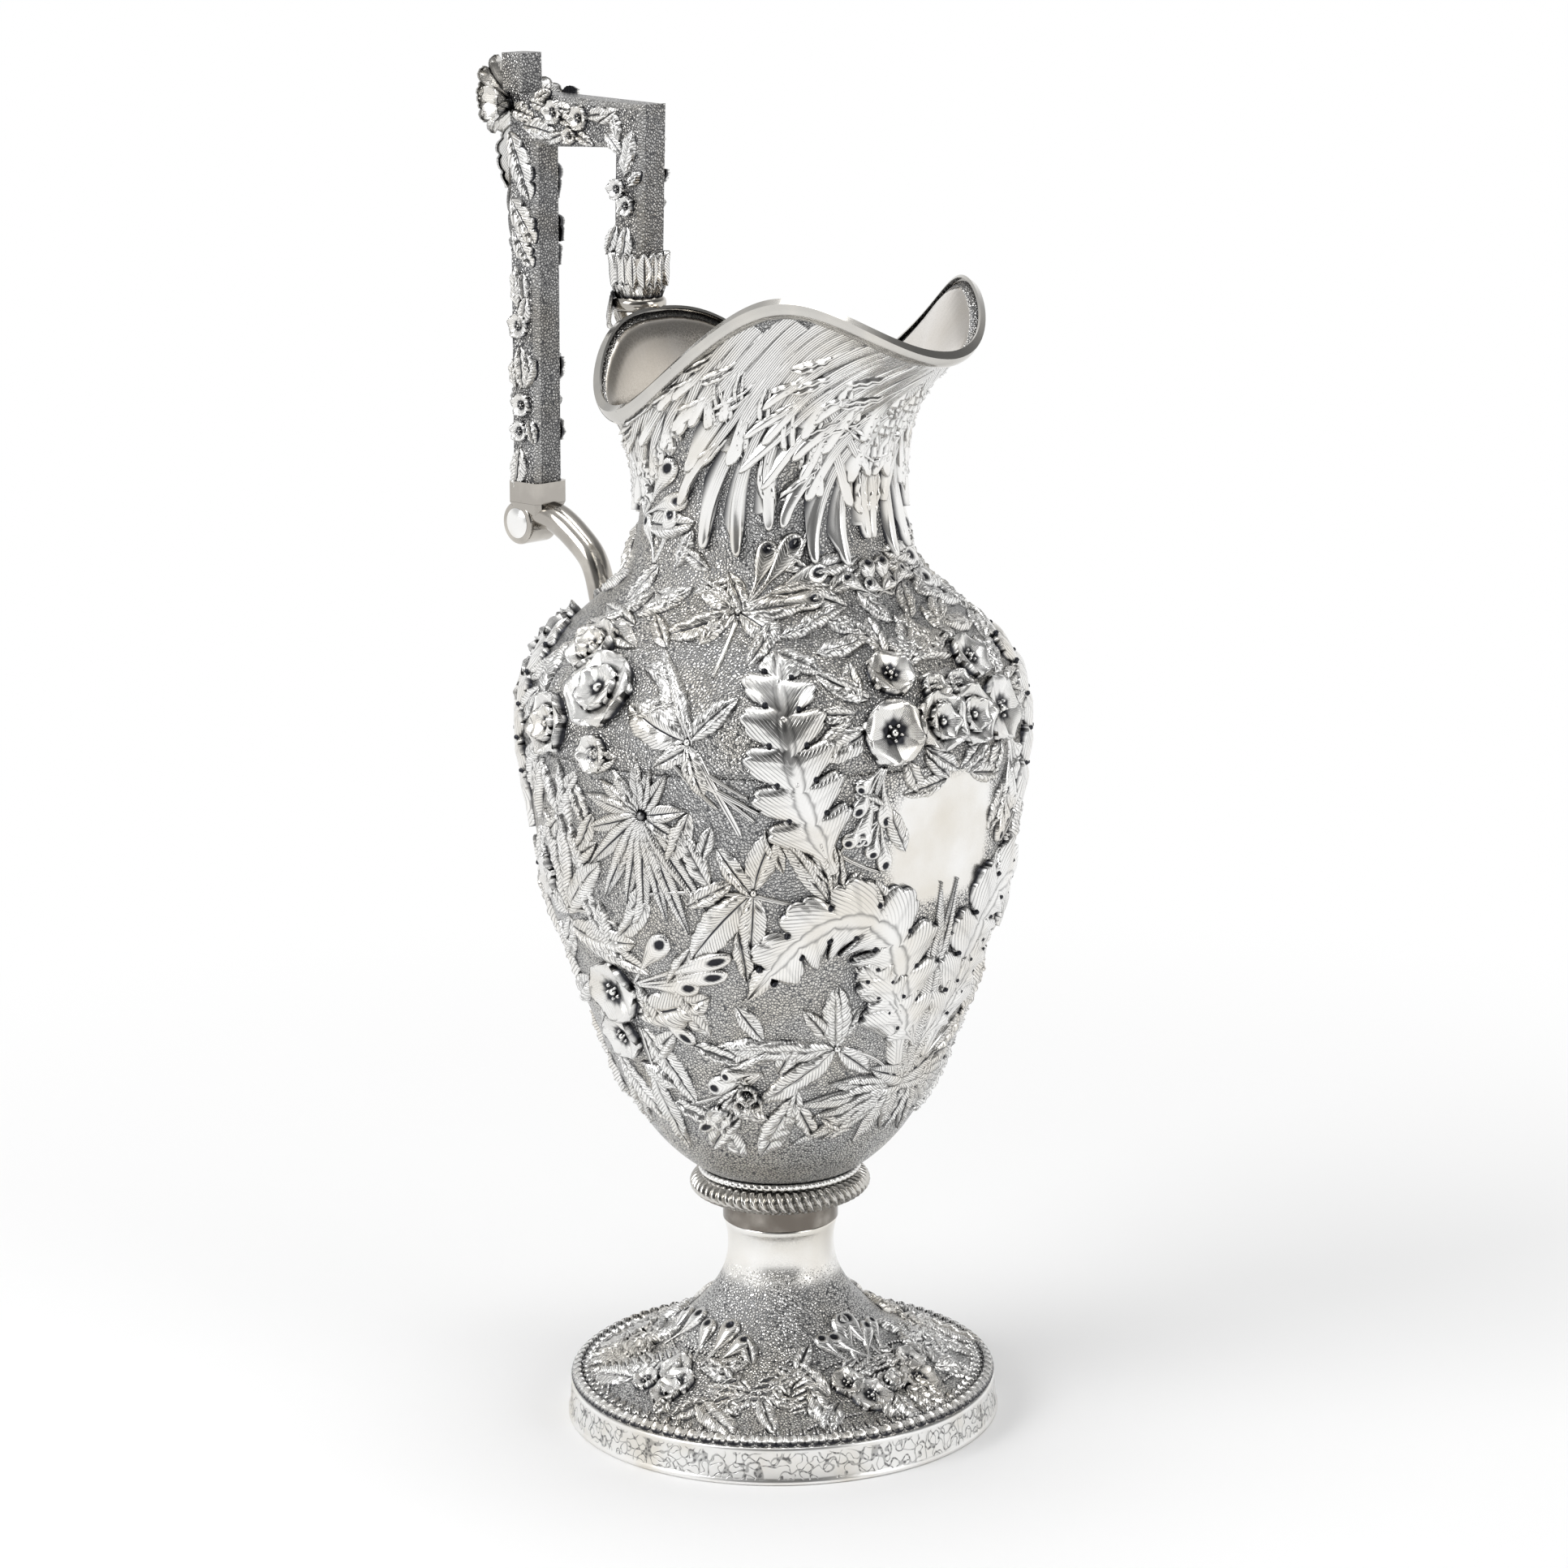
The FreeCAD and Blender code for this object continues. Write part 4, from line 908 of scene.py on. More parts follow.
def acanthus(relief, seat, line, length, width, lobes):
    # a deeply cut leaf: lobes that sweep out from a rib, each with toothed edges, and a dark eye in every gap
    count, stalk = len(line) - 1, 0.10

    def swell(share):
        return 0.40 + 0.60 * math.sin(math.pi * min(1.0, 0.20 + 0.82 * share))

    def onLine(share, across, forward):
        k = max(0, min(count - 1, int(share * count)))
        x, y, heading = [p + (q - p) * (share * count - k) for p, q in zip(line[k], line[k + 1])]
        a = math.radians(heading)
        x += across * math.cos(a) + forward * math.sin(a)
        return x, y - across * math.sin(a) + forward * math.cos(a), heading

    def blade(s, t):
        u, side = abs(t), 1 if t > 0 else -1
        share = stalk * 0.3 + (0.93 - stalk * 0.3) * s
        turn = math.pi * lobes * max(0.0, (s - stalk) / (1 - stalk)) + (0.5 if side > 0 else 0.0)
        lobe = abs(math.sin(turn))
        cut = smooth(s, stalk * 0.6, stalk * 1.6)
        span = 1 - cut * (0.58 * (1 - lobe**0.40) + 0.15 * (1 - abs(math.sin(turn * 3))**0.5))
        half = width / 2 * swell(share) * (0.25 + 0.75 * cut) * span
        across = half * (1 - smooth(s, 0.80, 1.0) * 0.92) * t
        x, y, heading = onLine(share, across, 0.42 * abs(across))
        lift = 0.9 + 1.7 * math.sin(math.pi * min(1, u**0.8)) * (0.45 + 0.55 * lobe) + 0.9 * u**3 * lobe
        lift += 0.7 * math.exp(-(t / 0.14)**2) + 0.55 * math.cos(turn * 2 + u * 2.5) * u
        vein = math.exp(-((lobe - 1) / 0.03)**2) * smooth(u, 0.15, 0.3)
        tone = 1 - 0.55 * math.exp(-((u - 0.15) / 0.05)**2) - 0.4 * cut * (1 - lobe) * u - 0.22 * vein
        return x, y, lift, tone, 0.8 * u, 0.0, across, share * length

    relief.sheet(seat, int(length * 2.0), 22, blade, spacing=1.5)
    for k in range(1, lobes):
        for side in (-1, 1):
            s = stalk + (1 - stalk) * (k - (0.5 / math.pi if side > 0 else 0)) / lobes
            share = stalk * 0.3 + (0.93 - stalk * 0.3) * s
            spread = side * width * 0.20 * swell(share)
            relief.knob(seat.moved(*onLine(share, spread, abs(spread) * 0.55)), 1.1, 2.4, 0.0, 5)


def onBody(around, height, turn=0.0):
    return Seat(bodyWall, (around, height), turn)


def chaseBody():
    relief = Relief()
    for around, height, turn, length, width, bend in plainLeaves:
        relief.leaf(onBody(around, height, turn), length, width, bend, teeth=9)
    for around, height, leaves in leafStars:
        relief.star(onBody(around, height), leaves)
    for around, height, turn, length, width, bend in stems:
        relief.stem(onBody(around, height, turn), length, width, bend)
    for around, height, buds in budSprays:
        relief.spray(onBody(around, height), buds)
    for around, height, radius, turn in roses:
        relief.rose(onBody(around, height), radius, turn)
    for around, height, radius, turn in blooms:
        relief.bloom(onBody(around, height), radius, turn)
    for around, height in berries:
        relief.knob(onBody(around, height), 1.5, 1.6)
    relief.fan(onBody(*palmFan[:2]), palmFan[2])
    relief.fan(onBody(*baseBlades[:2]), baseBlades[2])
    for around, height, turn, length, width, bend, low, high, lobes in greatLeaves:
        line = hookedLine(length, bend, low, high)
        acanthus(relief, onBody(around, height, turn), line, length, width, lobes)
    relief.leaf(onBody(87.3, 135.6, 78), 28, 12, -14, lobes=5, depth=0.16, wave=0.5, crown=1.8)
    bothSides("bowl_leaves", relief)


chaseBody()

# plumes: angle, height at the rim, turn, length, width, bend, lobes at the tip
plumes = [
    (48, 332, -138, 36, 13, -18, 3), (35, 333, -143, 56, 16, -8, 3), (23, 332, -142, 84, 18, -34, 4),
    (12, 328, -146, 48, 14, -2, 3), (7, 326, -152, 62, 17, 8, 4), (-1, 325, -148, 46, 14, -18, 3),
    (-9, 323, -147, 58, 16, -14, 3), (-14, 322, -146, 76, 18, -30, 4), (-34, 317, -150, 42, 14, -16, 3),
    (61, 330, -152, 34, 13, -6, 3), (75, 318, -140, 30, 12, 0, 3), (90, 309, -142, 28, 12, -10, 3),
    (106, 305, -150, 32, 13, -20, 3), (118, 306, -150, 38, 14, -20, 3), (130, 310, -154, 44, 14, -16, 3),
    (143, 317, -158, 50, 15, -16, 3), (156, 322, -164, 46, 14, -10, 3), (170, 324, -172, 40, 14, 0, 3),
]


def chaseNeck():
    relief = Relief()
    for around, height, turn, length, width, bend, tips in plumes:
        relief.plume(onBody(around, height, turn), length, width, bend, tips)
    relief.leaf(onBody(111, 273, 91), 21, 8.5, -14, teeth=7)
    bothSides("neck_plumes", relief)


chaseNeck()
print("body chased")


# foot
footSkin = {
    "columns": 300,
    "sheet": 1.2,                    # mm of wall
    "step": 1.1,                     # mm between rings
    "scallops": 96,
    "rays": 700,
    "polished": (0.0435, 0.0475),    # heights between which the punched ground gives way to the bare stem
}
slope = math.sqrt(0.5)
footWall = FootWall(("foot_dome",), (110, 58), (60, 108), (-slope, -slope), footSkin["rays"])
print("foot wall read:", round(footWall.length(0)), "mm")


def bareStem(finish, grain):
    # 1 on the bare stem and collar; the punch marks thin out below it
    z = finish.parts(finish.places())[2]
    loose = (0.5 - grain.step(0.0, 0.3)) * 0.004
    return (z + loose).step(*footSkin["polished"])


def bandSilver(name):
    # the foot's upright band: wandering lines of tiny punched dots between plain edges
    finish = Finish(name)
    x, y, z = finish.parts(finish.places())
    first = (finish.noise(260.0, 0.0) - 0.5).size().step(0.045, 0.015)
    second = (finish.noise(390.0, 0.0) - 0.5).size().step(0.045, 0.015)
    path = first + second - first * second
    dots = finish.cells(1000.0).step(0.6, 0.3)
    inside = z.step(0.0014, 0.0022) * z.step(0.0100, 0.0092)
    cut = path * (0.55 + dots * 0.45) * inside
    worn = finish.worn(finish.noise(60.0, 3.0).step(0.4, 0.75))
    colour = finish.blend(1 - cut * 0.8, silverTones["oxide"], worn)
    return finish.shade(colour, 0.3 + cut * 0.2, 1 - cut, 0.12, 0.8)


materials["foot ground"] = mattedSilver("matted foot ground", bareStem)
materials["band"] = bandSilver("engraved band")


def spunRing(name, profile, steps, material, replaced, carve=None):
    # a closed ring turned from a closed profile; carve then gives each point its new radius
    bm = turned(profile, steps, 0.01, closed=True)
    if carve:
        for vert in bm.verts:
            r = math.hypot(vert.co.x, vert.co.y)
            share = carve(r / mm, math.atan2(vert.co.y, vert.co.x), vert.co.z / mm) * mm / r
            vert.co.x *= share
            vert.co.y *= share
    finished(name, meshOf(bm, name), material, replaced)


def makeFoot():
    skin = footSkin
    low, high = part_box("foot_dome")
    length = footWall.length(0)
    count = int(length / skin["step"])
    outer = [footWall.spot(0, length * i / count) for i in range(count + 1)]
    profile = [(r, z) for r, z, outR, outZ in outer]
    profile[0] = (profile[0][0], low.z / mm)
    profile.append((profile[-1][0], high.z / mm))
    inner = [(r - outR * skin["sheet"], z - outZ * skin["sheet"]) for r, z, outR, outZ in outer[::3]]
    inner = [(r, max(z, low.z / mm)) for r, z in inner]
    profile += [(profile[-1][0] - skin["sheet"], high.z / mm)] + inner[::-1]
    spunRing("foot_skin", profile, skin["columns"], materials["foot ground"], ("foot_dome",))
    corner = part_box("foot_band")[1] / mm
    rim, top = corner.x, corner.z
    lean = rim - outer[0][0]
    band = [(rim - 0.5, 0), (rim, 0.5), (rim, 1.2), (rim - 0.35, 1.7), (rim - 0.5, 2.2)]
    band += [(rim - lean * 0.75, 9.2), (rim - lean * 0.7, 9.8), (rim - lean * 0.7, 10.6), (rim - lean, top)]
    band += [(rim - lean - 1.2, top), (rim - 1.8, 0)]
    spunRing("foot_band_skin", band, skin["columns"], materials["band"], ("foot_band",))


# leaves and buds of the foot: angle, rise, turn, length, width
footLeaves = [
    (84, 28, 64, 13, 5), (109, 16.5, -114, 17, 6), (119, 21, -103, 23, 7), (86, 14.5, 180, 6, 4),
    (78, 17.5, 119, 24, 6), (49, 32, 114, 6, 3), (27, 20.5, -24, 14, 5), (25, 17.5, -140, 13, 5),
    (3, 17, -164, 14, 5), (15, 26, 70, 10, 4), (10, 18.5, 167, 12, 5), (2, 26, 75, 7, 3), (66, 26, -60, 12, 5),
    (70, 18, -130, 13, 5), (38, 30, 20, 10, 4), (35, 24, 160, 16, 5), (132, 24, 20, 14, 5), (140, 20, 160, 15, 6),
    (128, 17, -120, 12, 5), (150, 28, -30, 12, 5), (158, 20, 100, 16, 5), (168, 24, -140, 14, 5),
    (175, 18, 60, 13, 5), (98, 33, 150, 10, 4), (60, 33, -20, 9, 4),
]
# node leaves, as on the body
footStars = [
    (54, 22.5, [(-129, 15, 5.5, 8), (161, 18, 6, -8), (-90, 16, 5.5, 0), (54, 17, 6, 10), (114, 15, 5, -8)]),
    (136, 30, [(-100, 14, 5, 8), (120, 15, 5, 0), (170, 13, 5, 0)]),
]
footBuds = [
    (91, 30, -14, 14, 5), (85, 29.5, 8, 16, 5.5), (80, 30, 30, 13, 5), (8, 28, 8, 18, 5.5),
    (11, 30.5, -27, 12, 4.5), (2, 29.5, 36, 14, 5), (122, 30, -20, 13, 5), (118, 30, 10, 15, 5),
    (170, 30, 0, 15, 5), (163, 30, -24, 12, 4.5),
]
# flowers: angle, rise, radius; ferns and rows of beads: angle, rise, turn, length, bend
footFlowers = [
    (95, 25.5, 5), (89, 21.5, 5), (90, 17, 4.6), (103, 18, 4), (18, 24, 4.8), (12, 17.5, 6), (2, 20.5, 3.5),
    (145, 14, 4.6), (152, 22, 5), (126, 24, 4), (165, 17, 4.6),
]
footFerns = [
    (95, 29.5, -114, 22, -20), (109, 26, -143, 24, 20), (121, 27.5, -142, 24, 20), (44, 30, -150, 16, 10),
    (64, 29.5, 180, 20, 10), (146, 30, 150, 22, -20), (32, 29, -165, 16, 8), (20, 31, 120, 14, 20),
]
footBeads = [
    (72, 22, 0, 20, 60), (103, 30, -60, 22, -60), (44, 18, 40, 20, -80), (28, 30, 60, 18, 60),
    (112, 22, 20, 18, 50), (60, 14, -90, 22, -40), (130, 12, 90, 24, 30), (20, 12, -90, 20, -30),
    (156, 14, 60, 20, 40), (80, 34, -90, 16, 0),
]


def onFoot(around, rise, turn=0.0):
    return Seat(footWall, (around, rise), turn)


def chaseFoot():
    relief = Relief()
    for around, rise, turn, length, width in footLeaves:
        relief.leaf(onFoot(around, rise, turn), length * 1.1, width * 1.45, 10 if turn > 0 else -10,
                    teeth=7, crown=1.9)
    for around, rise, leaves in footStars:
        relief.star(onFoot(around, rise), leaves)
    for around, rise, turn, length, width in footBuds:
        relief.bud(onFoot(around, rise, turn), length * 1.1, width * 1.1, 1.9)
    for around, rise, radius in footFlowers:
        relief.bloom(onFoot(around, rise), radius * 1.15, around * 7, 1.9)
    for around, rise, turn, length, bend in footFerns:
        seat = onFoot(around, rise, turn)
        relief.stem(seat, length, 1.1, bend)
        for k in range(int(length / 3.4)):
            for side in (-1, 1):
                spot = seat.moved(*bentLine(0, 2.4 + 3.3 * k, length, bend), side * 50 + bend * k * 3.3 / length)
                relief.leaf(spot, 6.6 - 0.3 * k, 3.3, outline=lance, rows=10, columns=6, crown=1.2, veins=0.0,
                            ripple=0.0)
    for around, rise, turn, length, bend in footBeads:
        seat = onFoot(around, rise, turn)
        for k in range(int(length / 1.5)):
            relief.knob(seat.moved(*bentLine(0, 1.5 * k, length, bend)), 0.6, 0.7, 1.0, 3)
    for k in range(footSkin["scallops"] // 2):
        # a scallop, the punch mark in it and the tongue that runs up from it
        seat = onFoot(360 * (k + 0.5) / footSkin["scallops"], 0.2)
        relief.petal(seat, 0.0, 4.2, 4.3, 0.2, 0.9, 0.9, 0.5)
        relief.knob(seat.moved(0, 1.9), 0.75, -0.15, 0.0, 3)
        relief.leaf(seat.moved(0, 3.9), 4.2, 1.9, outline=lance, rows=8, columns=4, crown=0.8, veins=0.0)
    bothSides("foot_leaves", relief)


makeFoot()
chaseFoot()

# ring between stem and bowl
ringWork = {
    "gadroons": 58,
    "slant": 3.4,       # turn of each gadroon from foot to top
    "deep": 2.6,        # mm
    "cuts": 88,         # cuts in the collar under them
    "cutDeep": 0.8,
    "strands": 34,      # half the strands of the rope above
    "thick": 1.0,       # mm from the rope's middle to its outside
    "steps": 580,
}


def makeRing():
    work = ringWork
    low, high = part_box("gadrooned_ring")
    base, top, rim = low.z / mm, high.z / mm, high.x / mm
    outline = [(17.4, base), (20.5, base + 0.3), (22.6, base + 0.9), (22.9, base + 1.3), (24.2, base + 1.7),
               (25.8, base + 2.6), (26.7, base + 3.7), (rim, base + 4.8), (26.7, base + 5.9), (25.9, base + 7.0),
               (24.6, top - 0.6), (23.0, top - 0.1), (20.0, top), (17.4, top - 2)]
    fine = []
    for p, q in zip(outline, outline[1:] + outline[:1]):
        fine += [(p[0] + (q[0] - p[0]) * i / 3, p[1] + (q[1] - p[1]) * i / 3) for i in range(3)]

    def flute(r, angle, z):
        up = (z - base) / (top - base)
        if r < 22.4 or up < 0.17:
            return r - (work["cutDeep"] if 20.6 < r and math.sin(angle * work["cuts"]) > 0 else 0)
        wave = abs(math.sin(angle * work["gadroons"] / 2 + work["slant"] * up))
        return r - work["deep"] * (1 - wave**0.8) * smooth(r, 22.4, 25.0)

    spunRing("ring_gadroons", fine, work["steps"], materials["rim"], ("gadrooned_ring",), flute)
    low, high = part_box("rope_ring")
    thick = work["thick"]
    middle, centre = (low.z + high.z) / 2 / mm, high.x / mm - thick
    circle = [(centre + thick * math.cos(math.tau * k / 12), middle + thick * math.sin(math.tau * k / 12))
              for k in range(12)]

    def twist(r, angle, z):
        turn = math.atan2(z - middle, r - centre)
        deep = 0.7 * abs(math.sin(angle * work["strands"] + turn))
        return centre + (r - centre) * (0.5 + deep)

    spunRing("ring_rope", circle, work["steps"], materials["plain"], ("rope_ring",), twist)


makeRing()
print("foot and ring made")

# handle
# walls of the handle: where a place's zero lies, across, up and out
gripRun = (0.0247, 0, 0.9997)
gripSide = FlatWall((-100.4, -5.4, 267.7), (1, 0, 0), gripRun, (0, -1, 0))
gripFront = FlatWall((-94.35, 0, 267.7), (0, 1, 0), gripRun, (1, 0, 0))
gripBack = FlatWall((-106.5, 0, 267.7), (0, -1, 0), gripRun, (-1, 0, 0))
barSide = FlatWall((-93.0, -5.4, 381.3), (1, 0, 0), (0, 0, 1), (0, -1, 0))
legSide = FlatWall((-54.6, -5.4, 336.7), (1, 0, 0), (0.049, 0, 0.9988), (0, -1, 0))
# lobed leaves, plain leaves and flowers, each with its wall, across, up and then turn, length, width or radius
handleLobed = [
    (gripSide, -4.6, 109.9, 153, 22, 9.5), (gripSide, -4.2, 89.9, 138, 16.5, 8.5),
    (gripSide, -3.2, 80.6, 140, 13.5, 7), (gripSide, -4.4, 117, 100, 11, 6), (barSide, -3, -1.5, 96, 15, 6.5),
]
handleLeaves = [
    (gripSide, -1, 46, 172, 12, 5), (gripSide, 1.5, 44, 150, 7, 3), (gripSide, -1.5, 15, 185, 12, 5.5),
    (gripSide, 2.2, 61, 190, 9, 4), (gripSide, -1.6, 57, -8, 12, 4.4), (gripSide, 1.4, 33, 20, 9, 4),
    (gripSide, -2.8, 33, -14, 8, 3.6), (gripSide, 0.4, 68, 170, 8, 3.4), (gripSide, 2.8, 24, 160, 7, 3.2),
    (barSide, 8, 4, -80, 7, 3.6), (barSide, 13, 1, 95, 8, 3.6), (barSide, 25, 2.2, 80, 9, 3.8),
    (barSide, 18, 3.6, -85, 7, 3.4), (barSide, 15, -3.2, -110, 8, 3.2), (barSide, 20, -3, 110, 7, 3),
    (barSide, 30, 0.5, 60, 8, 3.8), (barSide, 33, -2, 130, 8, 3.6), (barSide, 2, 5.4, 60, 7, 3.6),
    (legSide, 0.5, 30, 10, 13, 5), (legSide, -2, 40, -20, 8, 4), (legSide, 1.8, 16, 185, 13, 5.2),
    (legSide, -2.4, 16, 200, 9, 4), (legSide, 2.4, 27, 40, 6, 3), (gripBack, 0, 96, 180, 14, 6),
    (gripBack, 0, 60, 180, 12, 5), (gripBack, 0, 40, 0, 12, 5), (gripBack, 0, 20, 180, 12, 5),
]
handleFlowers = [
    (gripSide, -1.2, 52, 4.1), (gripSide, -0.3, 28, 3.9), (gripSide, -1.2, 20, 3.5), (barSide, 10.5, 2.8, 3.9),
    (barSide, 21.5, 1.5, 3.9), (barSide, 17.5, -3.8, 2.8), (legSide, -2.4, 26.3, 3.4), (legSide, 1.5, 21.6, 3.3),
    (gripBack, 0, 50, 4.0), (gripBack, 0, 30, 3.6), (gripBack, 0, 76, 3.8),
]


def handleSilver(name):
    # the handle's tubes: punched ground on the faces, worn bare along every bevel
    finish = Finish(name)
    grain = punched(finish)
    x, y, z = finish.parts(finish.places())
    lit = grain.step(0.02, 0.24) * 0.58 + 0.04
    worn = finish.worn(finish.noise(55.0, 3.0).step(0.4, 0.75))
    flat = finish.parts(finish.add("NewGeometry", output="Normal"))
    squarest = flat[0].size().most(flat[1].size()).most(flat[2].size())
    bare = squarest.step(0.97, 0.9) * 0.5
    lit = (lit + bare * 0.5).least(1.0)
    colour = finish.blend(lit, silverTones["oxide"], worn)
    return finish.shade(colour, 0.32 - bare * 0.15, grain.step(0.0, 0.4) * (1 - bare), 0.2, 0.8)


materials["handle"] = handleSilver("punched handle")


def chaseHandle():
    relief = Relief()
    for wall, across, up, turn, length, width in handleLobed:
        relief.leaf(Seat(wall, (across, up), turn), length, width, 6, lobes=4, depth=0.35, sweep=0.3, crown=1.5,
                    edge=0.8, columns=14, rows=44)
    for wall, across, up, turn, length, width in handleLeaves:
        relief.leaf(Seat(wall, (across, up), turn), length * 1.1, width * 1.2, 8, teeth=6, crown=1.4, rows=16)
    for wall, across, up, radius in handleFlowers:
        relief.bloom(Seat(wall, (across, up)), radius, up * 9, 1.6)
    relief.knob(Seat(gripFront, (2.2, 118.5)), 1.2, 0.6, 0.8)
    bothSides("handle_leaves", relief)


def makeCrest():
    # shell leaf at the back, a lily cup on each side, and the leaf that hangs below them
    relief = Relief()
    # walls of the crest: the back of the block, the lily cup's turned face and the back of the grip
    shell = FlatWall((-107.4, 0, 387), (0, -1, 0), (0, 0, 1), (-1, 0, 0))
    for turn, reach, width in [(0, 12.5, 7), (34, 11, 6.5), (66, 8.6, 6), (100, 8.2, 6), (136, 9.4, 6), (168, 11, 6)]:
        relief.freePetal(Seat(shell, (0, 0), turn), 1.5, reach - 1.5, width, 7.0, 0.9)
    relief.knob(Seat(shell, (0, 0)), 2.2, 1.8)
    cup = FlatWall((-102.6, -5.6, 386), (0.917, -0.40, 0), (0, 0, 1), (-0.4, -0.917, 0))
    for k in range(6):
        relief.freePetal(Seat(cup, (0, 0), 60 * k), 1.2, 5.6, 6.4, 6.0)
    for k in range(5):
        relief.knob(Seat(cup, (0, 0), 72 * k).moved(0, 1.1), 0.55, 4.6, 1.0, 4)
    relief.knob(Seat(cup, (0, 0)), 0.8, 5.4)
    hanging = FlatWall((-107.2, 0, 380), (0, -1, 0), (0, 0, 1), (-1, 0, 0))
    relief.frond(Seat(hanging, (0, 0), 178), 20, 10, 3.4, 3.6, 4)
    relief.frond(Seat(hanging, (0, -15), 180), 24, 6.5, 1.2, 0.8, 2)
    bothSides("crest_leaves", relief, ("crest_leaf", "crest_blossoms", "drop_leaf"))


def makeMount():
    # cup of upright leaves round the inner leg, a ring of petals, and two hanging petals at the back
    relief = Relief()
    for k in range(8):
        a = math.radians(11 + 22.6 * k)
        out = Vector((math.cos(a), -math.sin(a), 0))
        edge = min(7.3 / max(0.01, abs(out.x)), 6.7 / max(0.01, abs(out.y)), 8.4) + 0.3
        side = FlatWall(Vector((-53.2, 0, 334.6)) + out * edge, (math.sin(a), math.cos(a), 0), (0, 0, 1), out)
        relief.frond(Seat(side, (0, 0)), 10.0, 4.6, 0.4, 0.8, 1, rounded)
        low = FlatWall(Vector((-53.4, 0, 331.2)) + out * 6.0, (math.sin(a), math.cos(a), 0), (0, 0, 1), out)
        relief.freePetal(Seat(low, (1.2, 0)), 0, 4.6, 3.4, 1.2, 0.3)
    for turn, x, y in ((150, -58.5, -6.2), (-165, -61.0, -3.0)):
        back = FlatWall((x, y, 332.4), (0.8, -0.6, 0), (0, 0, 1), (-0.6, -0.8, 0))
        relief.freePetal(Seat(back, (0, 0), turn), 0, 11, 7, 1.6, 0.9)
    bothSides("mount_leaves", relief, ("mount_blossoms", "blossom_ring"))


chaseHandle()
makeCrest()
makeMount()
print("handle dressed")


# stage
stage = {
    "floorSize": 6,                     # metres from the middle to an edge
    "floorColour": (0.93, 0.93, 0.93, 1),
    "whiteFrom": (0.16, 0.6),           # metres from the middle between which the floor turns white
    "lamps": {                          # place, aim, size, power
        "key": ((-0.4, -1.5, 1.2), (0, 0, 0.22), (0.9, 0.9), 14),
        "fill": ((1.6, 0.2, 0.9), (0, 0, 0.22), (0.7, 1.0), 5),
        "top": ((0, 0, 1.8), (0, 0, 0), (1.0, 1.0), 10),
    },
}


def makeFloor():
    bm = bmesh.new()
    bmesh.ops.create_grid(bm, x_segments=8, y_segments=8, size=stage["floorSize"])
    mesh = meshOf(bm, "floor", smoothed=False)
    finish = Finish("pale floor")
    for name, value in (("Metallic", 0.0), ("Base Color", stage["floorColour"]), ("Roughness", 0.9)):
        finish.plug(finish.shader.inputs[name], value)
    x, y, z = finish.parts(finish.places())
    far = ((x * x + y * y) ** 0.5).step(*stage["whiteFrom"])
    glow = finish.add("Emission", inputs={"Color": (1, 1, 1, 1), "Strength": 1.0}, output="Emission")
    body = Wire(finish, finish.shader.outputs[0])
    mixed = finish.add("MixShader", inputs={0: far * finish.mirrored(), 1: body, 2: glow}, output="Shader")
    finish.plug(finish.tree.nodes["Material Output"].inputs["Surface"], mixed)
    mesh.materials.append(finish.material)
    placed("floor", mesh)


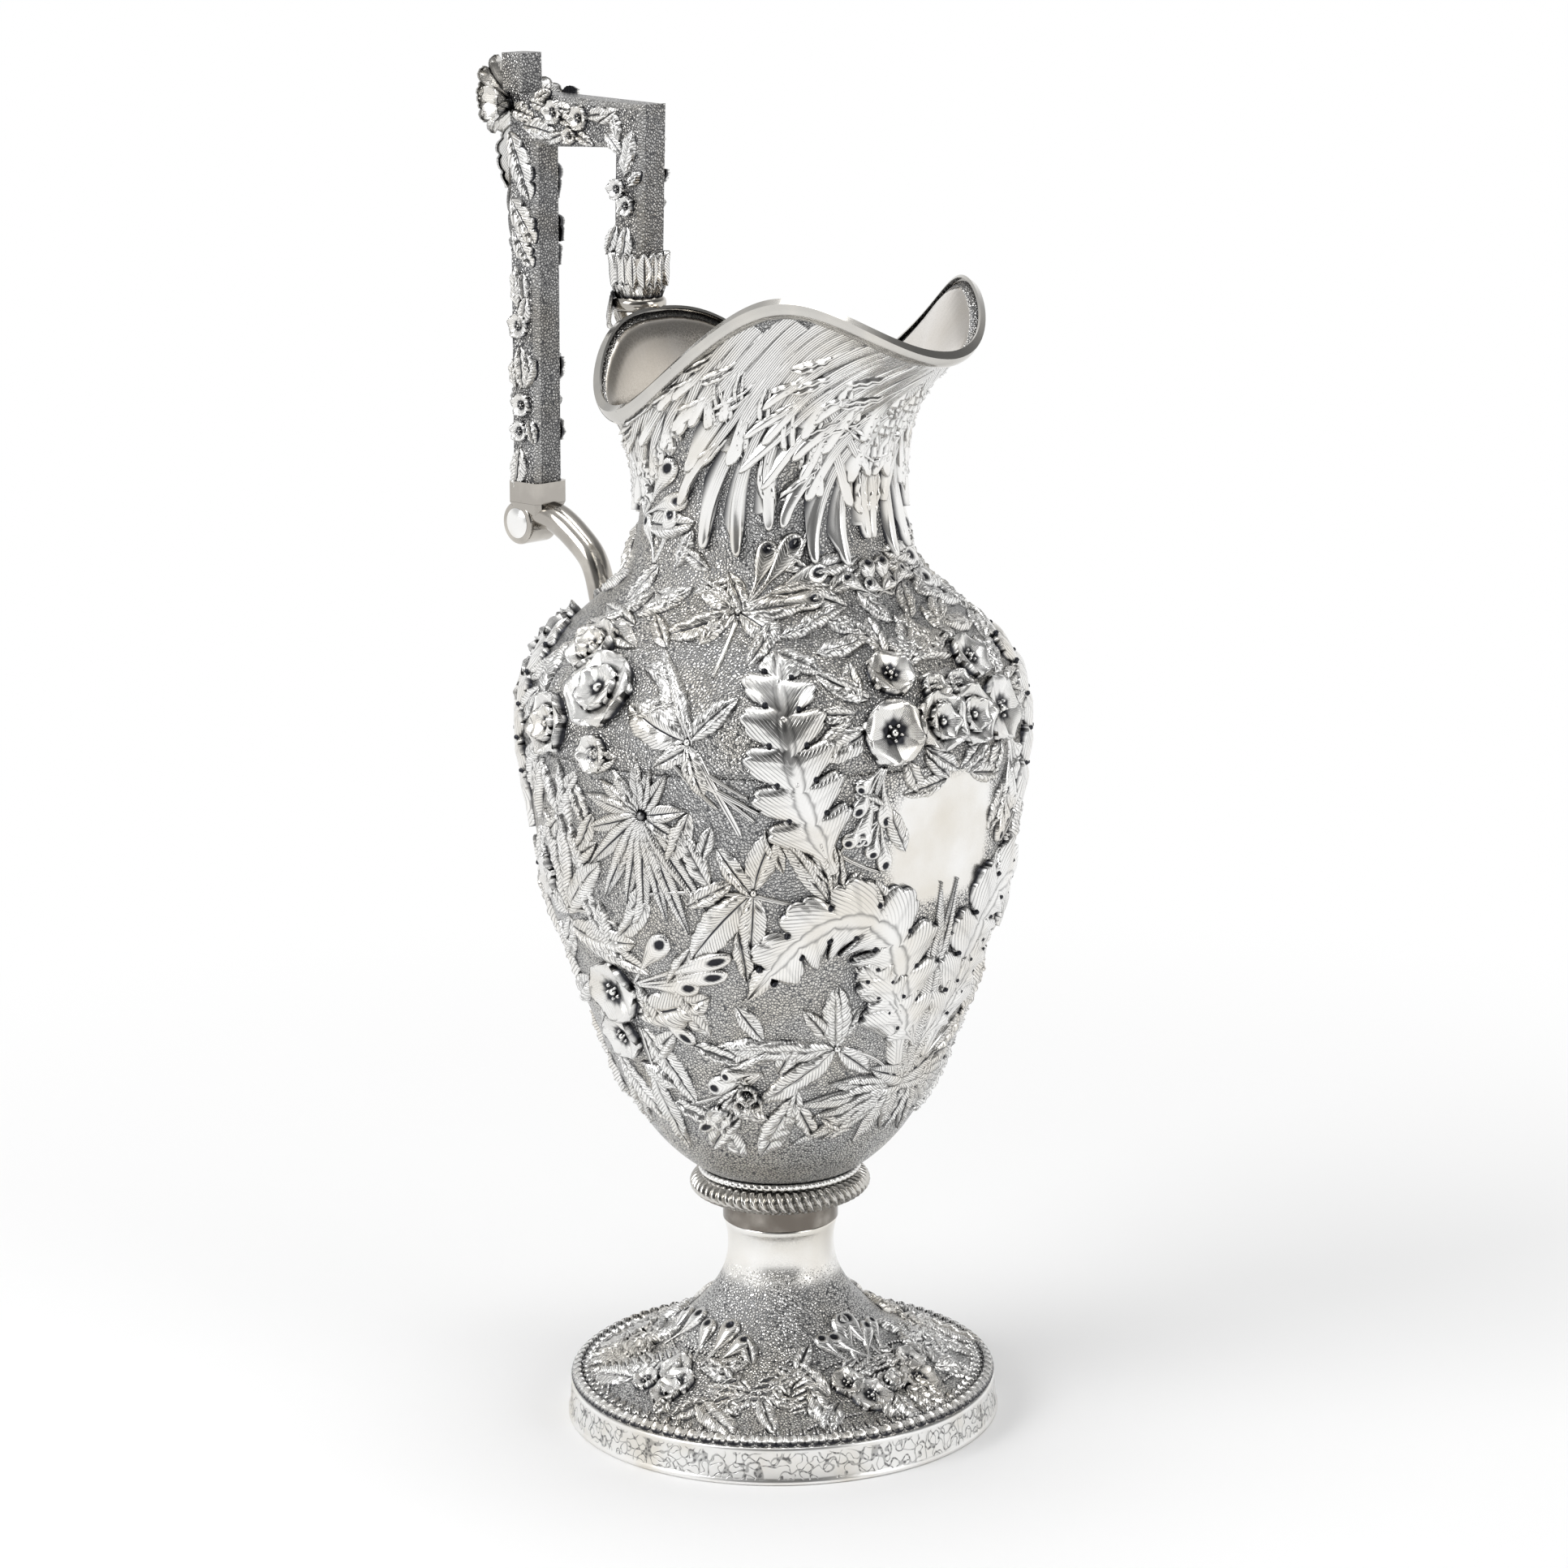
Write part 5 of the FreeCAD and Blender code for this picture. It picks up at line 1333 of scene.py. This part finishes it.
def makeWorld():
    # white all round the horizon, a darker room above it towards the spout, seen by camera and silver alike
    world = bpy.data.worlds.new("studio")
    world.use_nodes = True
    bpy.context.scene.world = world
    finish = Nodes(world.node_tree)
    way = finish.add("TexCoord", output="Generated")
    x, y, z = finish.parts(way)
    right = (x * 0.9 + y * 0.3).step(-0.35, 0.75)
    above = z.step(0.14, 0.42)
    room = 1 - above * (0.40 + right * 0.45)
    ahead = (x - y) * slope + finish.noise(2.6, 2.0, way) * 0.3
    room = room * (1 - ahead.step(0.72, 1.08) * z.step(-0.35, -0.05) * 0.80)
    top = z.step(0.75, 0.95)
    room = room * (1 - top) + top * 0.85
    seen = finish.mirrored()
    level = seen * room + (1 - seen) * 0.55
    back = finish.tree.nodes["Background"]
    grey = finish.add("CombineColor", inputs={0: level, 1: level, 2: level}, output="Color")
    finish.plug(back.inputs["Color"], grey)
    finish.plug(back.inputs["Strength"], 1.0)


def softBox(name, place, aim, size, power):
    light = bpy.data.lights.new(name, "AREA")
    light.shape = "RECTANGLE"
    light.size, light.size_y = size
    light.energy = power
    lamp = placed(name, light)
    lamp.location = place
    lamp.rotation_euler = (Vector(aim) - Vector(place)).to_track_quat("-Z", "Y").to_euler()


def makeCamera():
    # metres and degrees: round is the way it stands from, down its tilt
    view = {"away": 1.220, "aside": 0.0028, "height": 0.4769, "round": 45.0, "down": 13.12, "roll": 0.78,
            "lens": 98.35}
    camera = bpy.data.cameras.new("camera")
    camera.lens = view["lens"]
    camera.sensor_width = 36
    camera.clip_start = 0.05
    camera.clip_end = 50
    holder = placed("camera", camera)
    turn = Matrix.Rotation(math.radians(view["round"]), 4, "Z")
    place = Matrix.Translation((view["aside"], -view["away"], view["height"]))
    tilt = Matrix.Rotation(math.radians(90 - view["down"]), 4, "X")
    holder.matrix_world = turn @ place @ tilt @ Matrix.Rotation(-math.radians(view["roll"]), 4, "Z")
    bpy.context.scene.camera = holder


makeFloor()
makeWorld()
for name, (place, aim, size, power) in stage["lamps"].items():
    softBox(name, place, aim, size, power)
makeCamera()
bpy.context.scene.view_settings.view_transform = "Standard"

# finishes of the nodes that keep their own shape; the others are plain
nodeFinishes = {
    "handle": ("handle_grip", "handle_top_bar", "handle_inner_leg", "crest_block"),
    # these pieces take the tarnished silver whose darker brown base colour is also a painted dark reflection
    "tarnish_dark_reflection": ("scroll_arm", "scroll_volute", "leaf_socket", "mount_ring", "lip_saddle", "grip_ferrule"),
    "rim": ("rim_moulding",),
    "collar": ("stem_collar",),
}
finishOf = {name: key for key, names in nodeFinishes.items() for name in names}
for name, node in nodes.items():
    if not node.hide_render:
        for slot in node.material_slots:
            slot.material = materials[finishOf.get(name, "plain")]
print("stage set and nodes finished")
